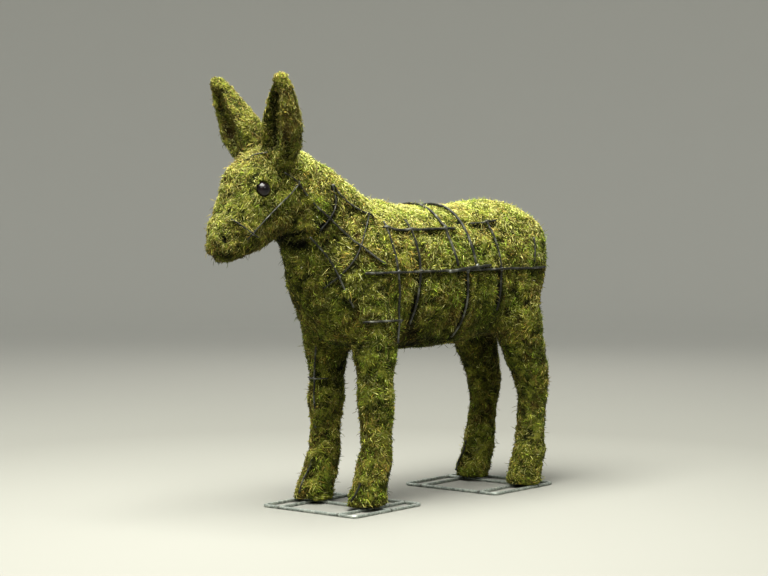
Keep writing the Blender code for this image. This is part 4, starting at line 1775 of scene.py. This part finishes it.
@dataclass
class Studio:
    """A plain pale floor, a soft broad light from above, three weak ones round about, and the camera."""

    bearing_deg: float = 46.0
    tilt_deg: float = -2.55
    place: tuple[float, float, float] = (3.6302, -3.5103, 0.769)
    lens_mm: float = 92.53
    sensor_mm: float = 36.0
    floor_rings: tuple[float, ...] = (0.5, 3.0)
    floor_reach: float = 7.0
    wall_bend: float = 3.5
    wall_height: float = 6.0
    bend_steps: int = 12
    around: int = 64
    air: str = "#EEF0EE"
    air_strength: float = 0.34
    panels: tuple[Panel, ...] = (
        Panel("sky_panel", (0.3, -0.8, 3.2), (0.0, -0.1, 0.6), 2.3, 345.0, "#FEFDF4"),
        Panel("side_panel", (3.2, -0.7, 2.8), (0.0, 0.1, 0.6), 1.6, 24.0, "#FFFCF2"),
        Panel("front_panel", (1.4, -3.0, 3.1), (0.0, -0.3, 0.6), 1.8, 32.0, "#FFFCF2"),
        Panel("rear_panel", (-2.6, 2.9, 2.9), (0.0, 0.1, 0.6), 1.8, 26.0, "#FFFCF2"),
    )

    def camera(self) -> None:
        """Sets the camera at standing foal height, a little off the animal's left front."""
        data = bpy.data.cameras.new("studio_camera")
        data.lens, data.sensor_width, data.clip_end = self.lens_mm, self.sensor_mm, 200.0
        made = placed("studio_camera", data)
        made.location = self.place
        made.rotation_euler = (math.radians(90.0 + self.tilt_deg), 0.0, math.radians(self.bearing_deg))
        bpy.context.scene.camera = made

    def floor(self) -> None:
        """Lays the floor, which bends up into a plain wall all round."""
        n, reach, bow = self.around, self.floor_reach, self.wall_bend
        bend = [(t / self.bend_steps) * math.pi / 2 for t in range(self.bend_steps + 1)]
        profile = [(ring, 0.0) for ring in self.floor_rings]
        profile += [(reach + bow * math.sin(t), bow * (1 - math.cos(t))) for t in bend]
        profile.append((reach + bow, self.wall_height))
        turns = [k * 2 * math.pi / n for k in range(n)]
        vertices = [(r * math.cos(t), r * math.sin(t), z) for r, z in profile for t in turns]
        vertices.append((0.0, 0.0, 0.0))
        starts = range(0, n * (len(profile) - 1), n)
        faces = [(i + k, i + n + k, i + n + (k + 1) % n, i + (k + 1) % n) for i in starts for k in range(n)]
        faces += [(len(vertices) - 1, k, (k + 1) % n) for k in range(n)]
        mesh = bpy.data.meshes.new("studio_floor")
        mesh.from_pydata(vertices, [], faces)
        mesh.polygons.foreach_set("use_smooth", [True] * len(faces))
        mesh.materials.append(MattFloor().material())
        made = placed("studio_floor", mesh)

    def surroundings(self) -> None:
        """Fills the room with even pale light."""
        world = bpy.data.worlds.new("studio_air")
        world.use_nodes = True
        ground = world.node_tree.nodes["Background"]
        ground.inputs["Color"].default_value = linear(self.air)
        ground.inputs["Strength"].default_value = self.air_strength
        bpy.context.scene.world = world

    def build(self) -> None:
        """Sets up everything around the animal."""
        self.camera()
        self.floor()
        self.surroundings()
        for panel in self.panels:
            panel.hang()
        bpy.context.scene.view_settings.view_transform = "Standard"


# ------------------------------------------------------------------ all of it


def both(*names: str) -> tuple[str, ...]:
    """Names the left and the right one of each."""
    return tuple(f"{name}_{side}" for name in names for side in ("left", "right"))


CAGE_GROUPS = (
    RodGroup("saddle_rods", ("saddle_hoop_front", "saddle_hoop_rear", *both("saddle_bar")), overgrown=0.1),
    RodGroup(
        "barrel_rails",
        both("flank_rail", "back_rail", "croup_rail", "croup_rib"),
        Bedding.PRESSED,
        Bedding.PRESSED,
        0.1,
    ),
    RodGroup("barrel_ribs", both("girth_rib", "belly_rib", "loin_rib"), Bedding.PRESSED, Bedding.SUNK),
    RodGroup("shoulder_rods", both("shoulder_rib", "shoulder_bar"), Bedding.PROUD, Bedding.PRESSED),
    RodGroup(
        "neck_rods",
        both("lower_neck_ring", "crest_rail", "neck_rail", "throat_rail"),
        Bedding.PRESSED,
        Bedding.PRESSED,
    ),
    RodGroup("throat_ring", both("upper_neck_ring"), Bedding.SUNK, Bedding.SUNK, 0.1),
    RodGroup("head_wires", (*both("cheek_wire"), "nose_wire", "brow_wire"), overgrown=0.0),
    RodGroup(
        "leg_rods",
        ("fore_shin_rod_right", "fore_tie_wire_right", *both("fore_hoof_rod"), "hind_hoof_rod_right"),
    ),
)
FRAME_CROSS_BARS = {"front_ground_frame": 0.008, "rear_ground_frame": 0.060}


def main() -> None:
    """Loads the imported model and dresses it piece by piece."""
    logging.basicConfig(level=logging.INFO, format="%(name)s: %(message)s")
    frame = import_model()

    weld = BRIGHT_WELD.material()
    cage = RodCage(CAGE_GROUPS)
    cage.read(frame["nodes"])
    cage.build(WEATHERED_ROD.material(), weld)

    zinc = GALVANISED_BAR.material()
    for node, cross in FRAME_CROSS_BARS.items():
        GroundFrame(node, cross).build(zinc, weld)

    glass = BlackGlass().material()
    eyes = [GlassEye(node).build(glass) for node in both("eye")]

    strip = cage.strip()
    ground = MossPack().build(frame["nodes"]["moss_body"], strip, eyes, SheetMoss())
    finish = MossSprig()
    sprig = finish.material()
    coat = SprigCoat(MossTints(), ground, strip, eyes)
    for growth in GROWTHS:
        coat.build(growth, finish.attribute, sprig)

    Studio().build()


if __name__ == "__main__":
    main()
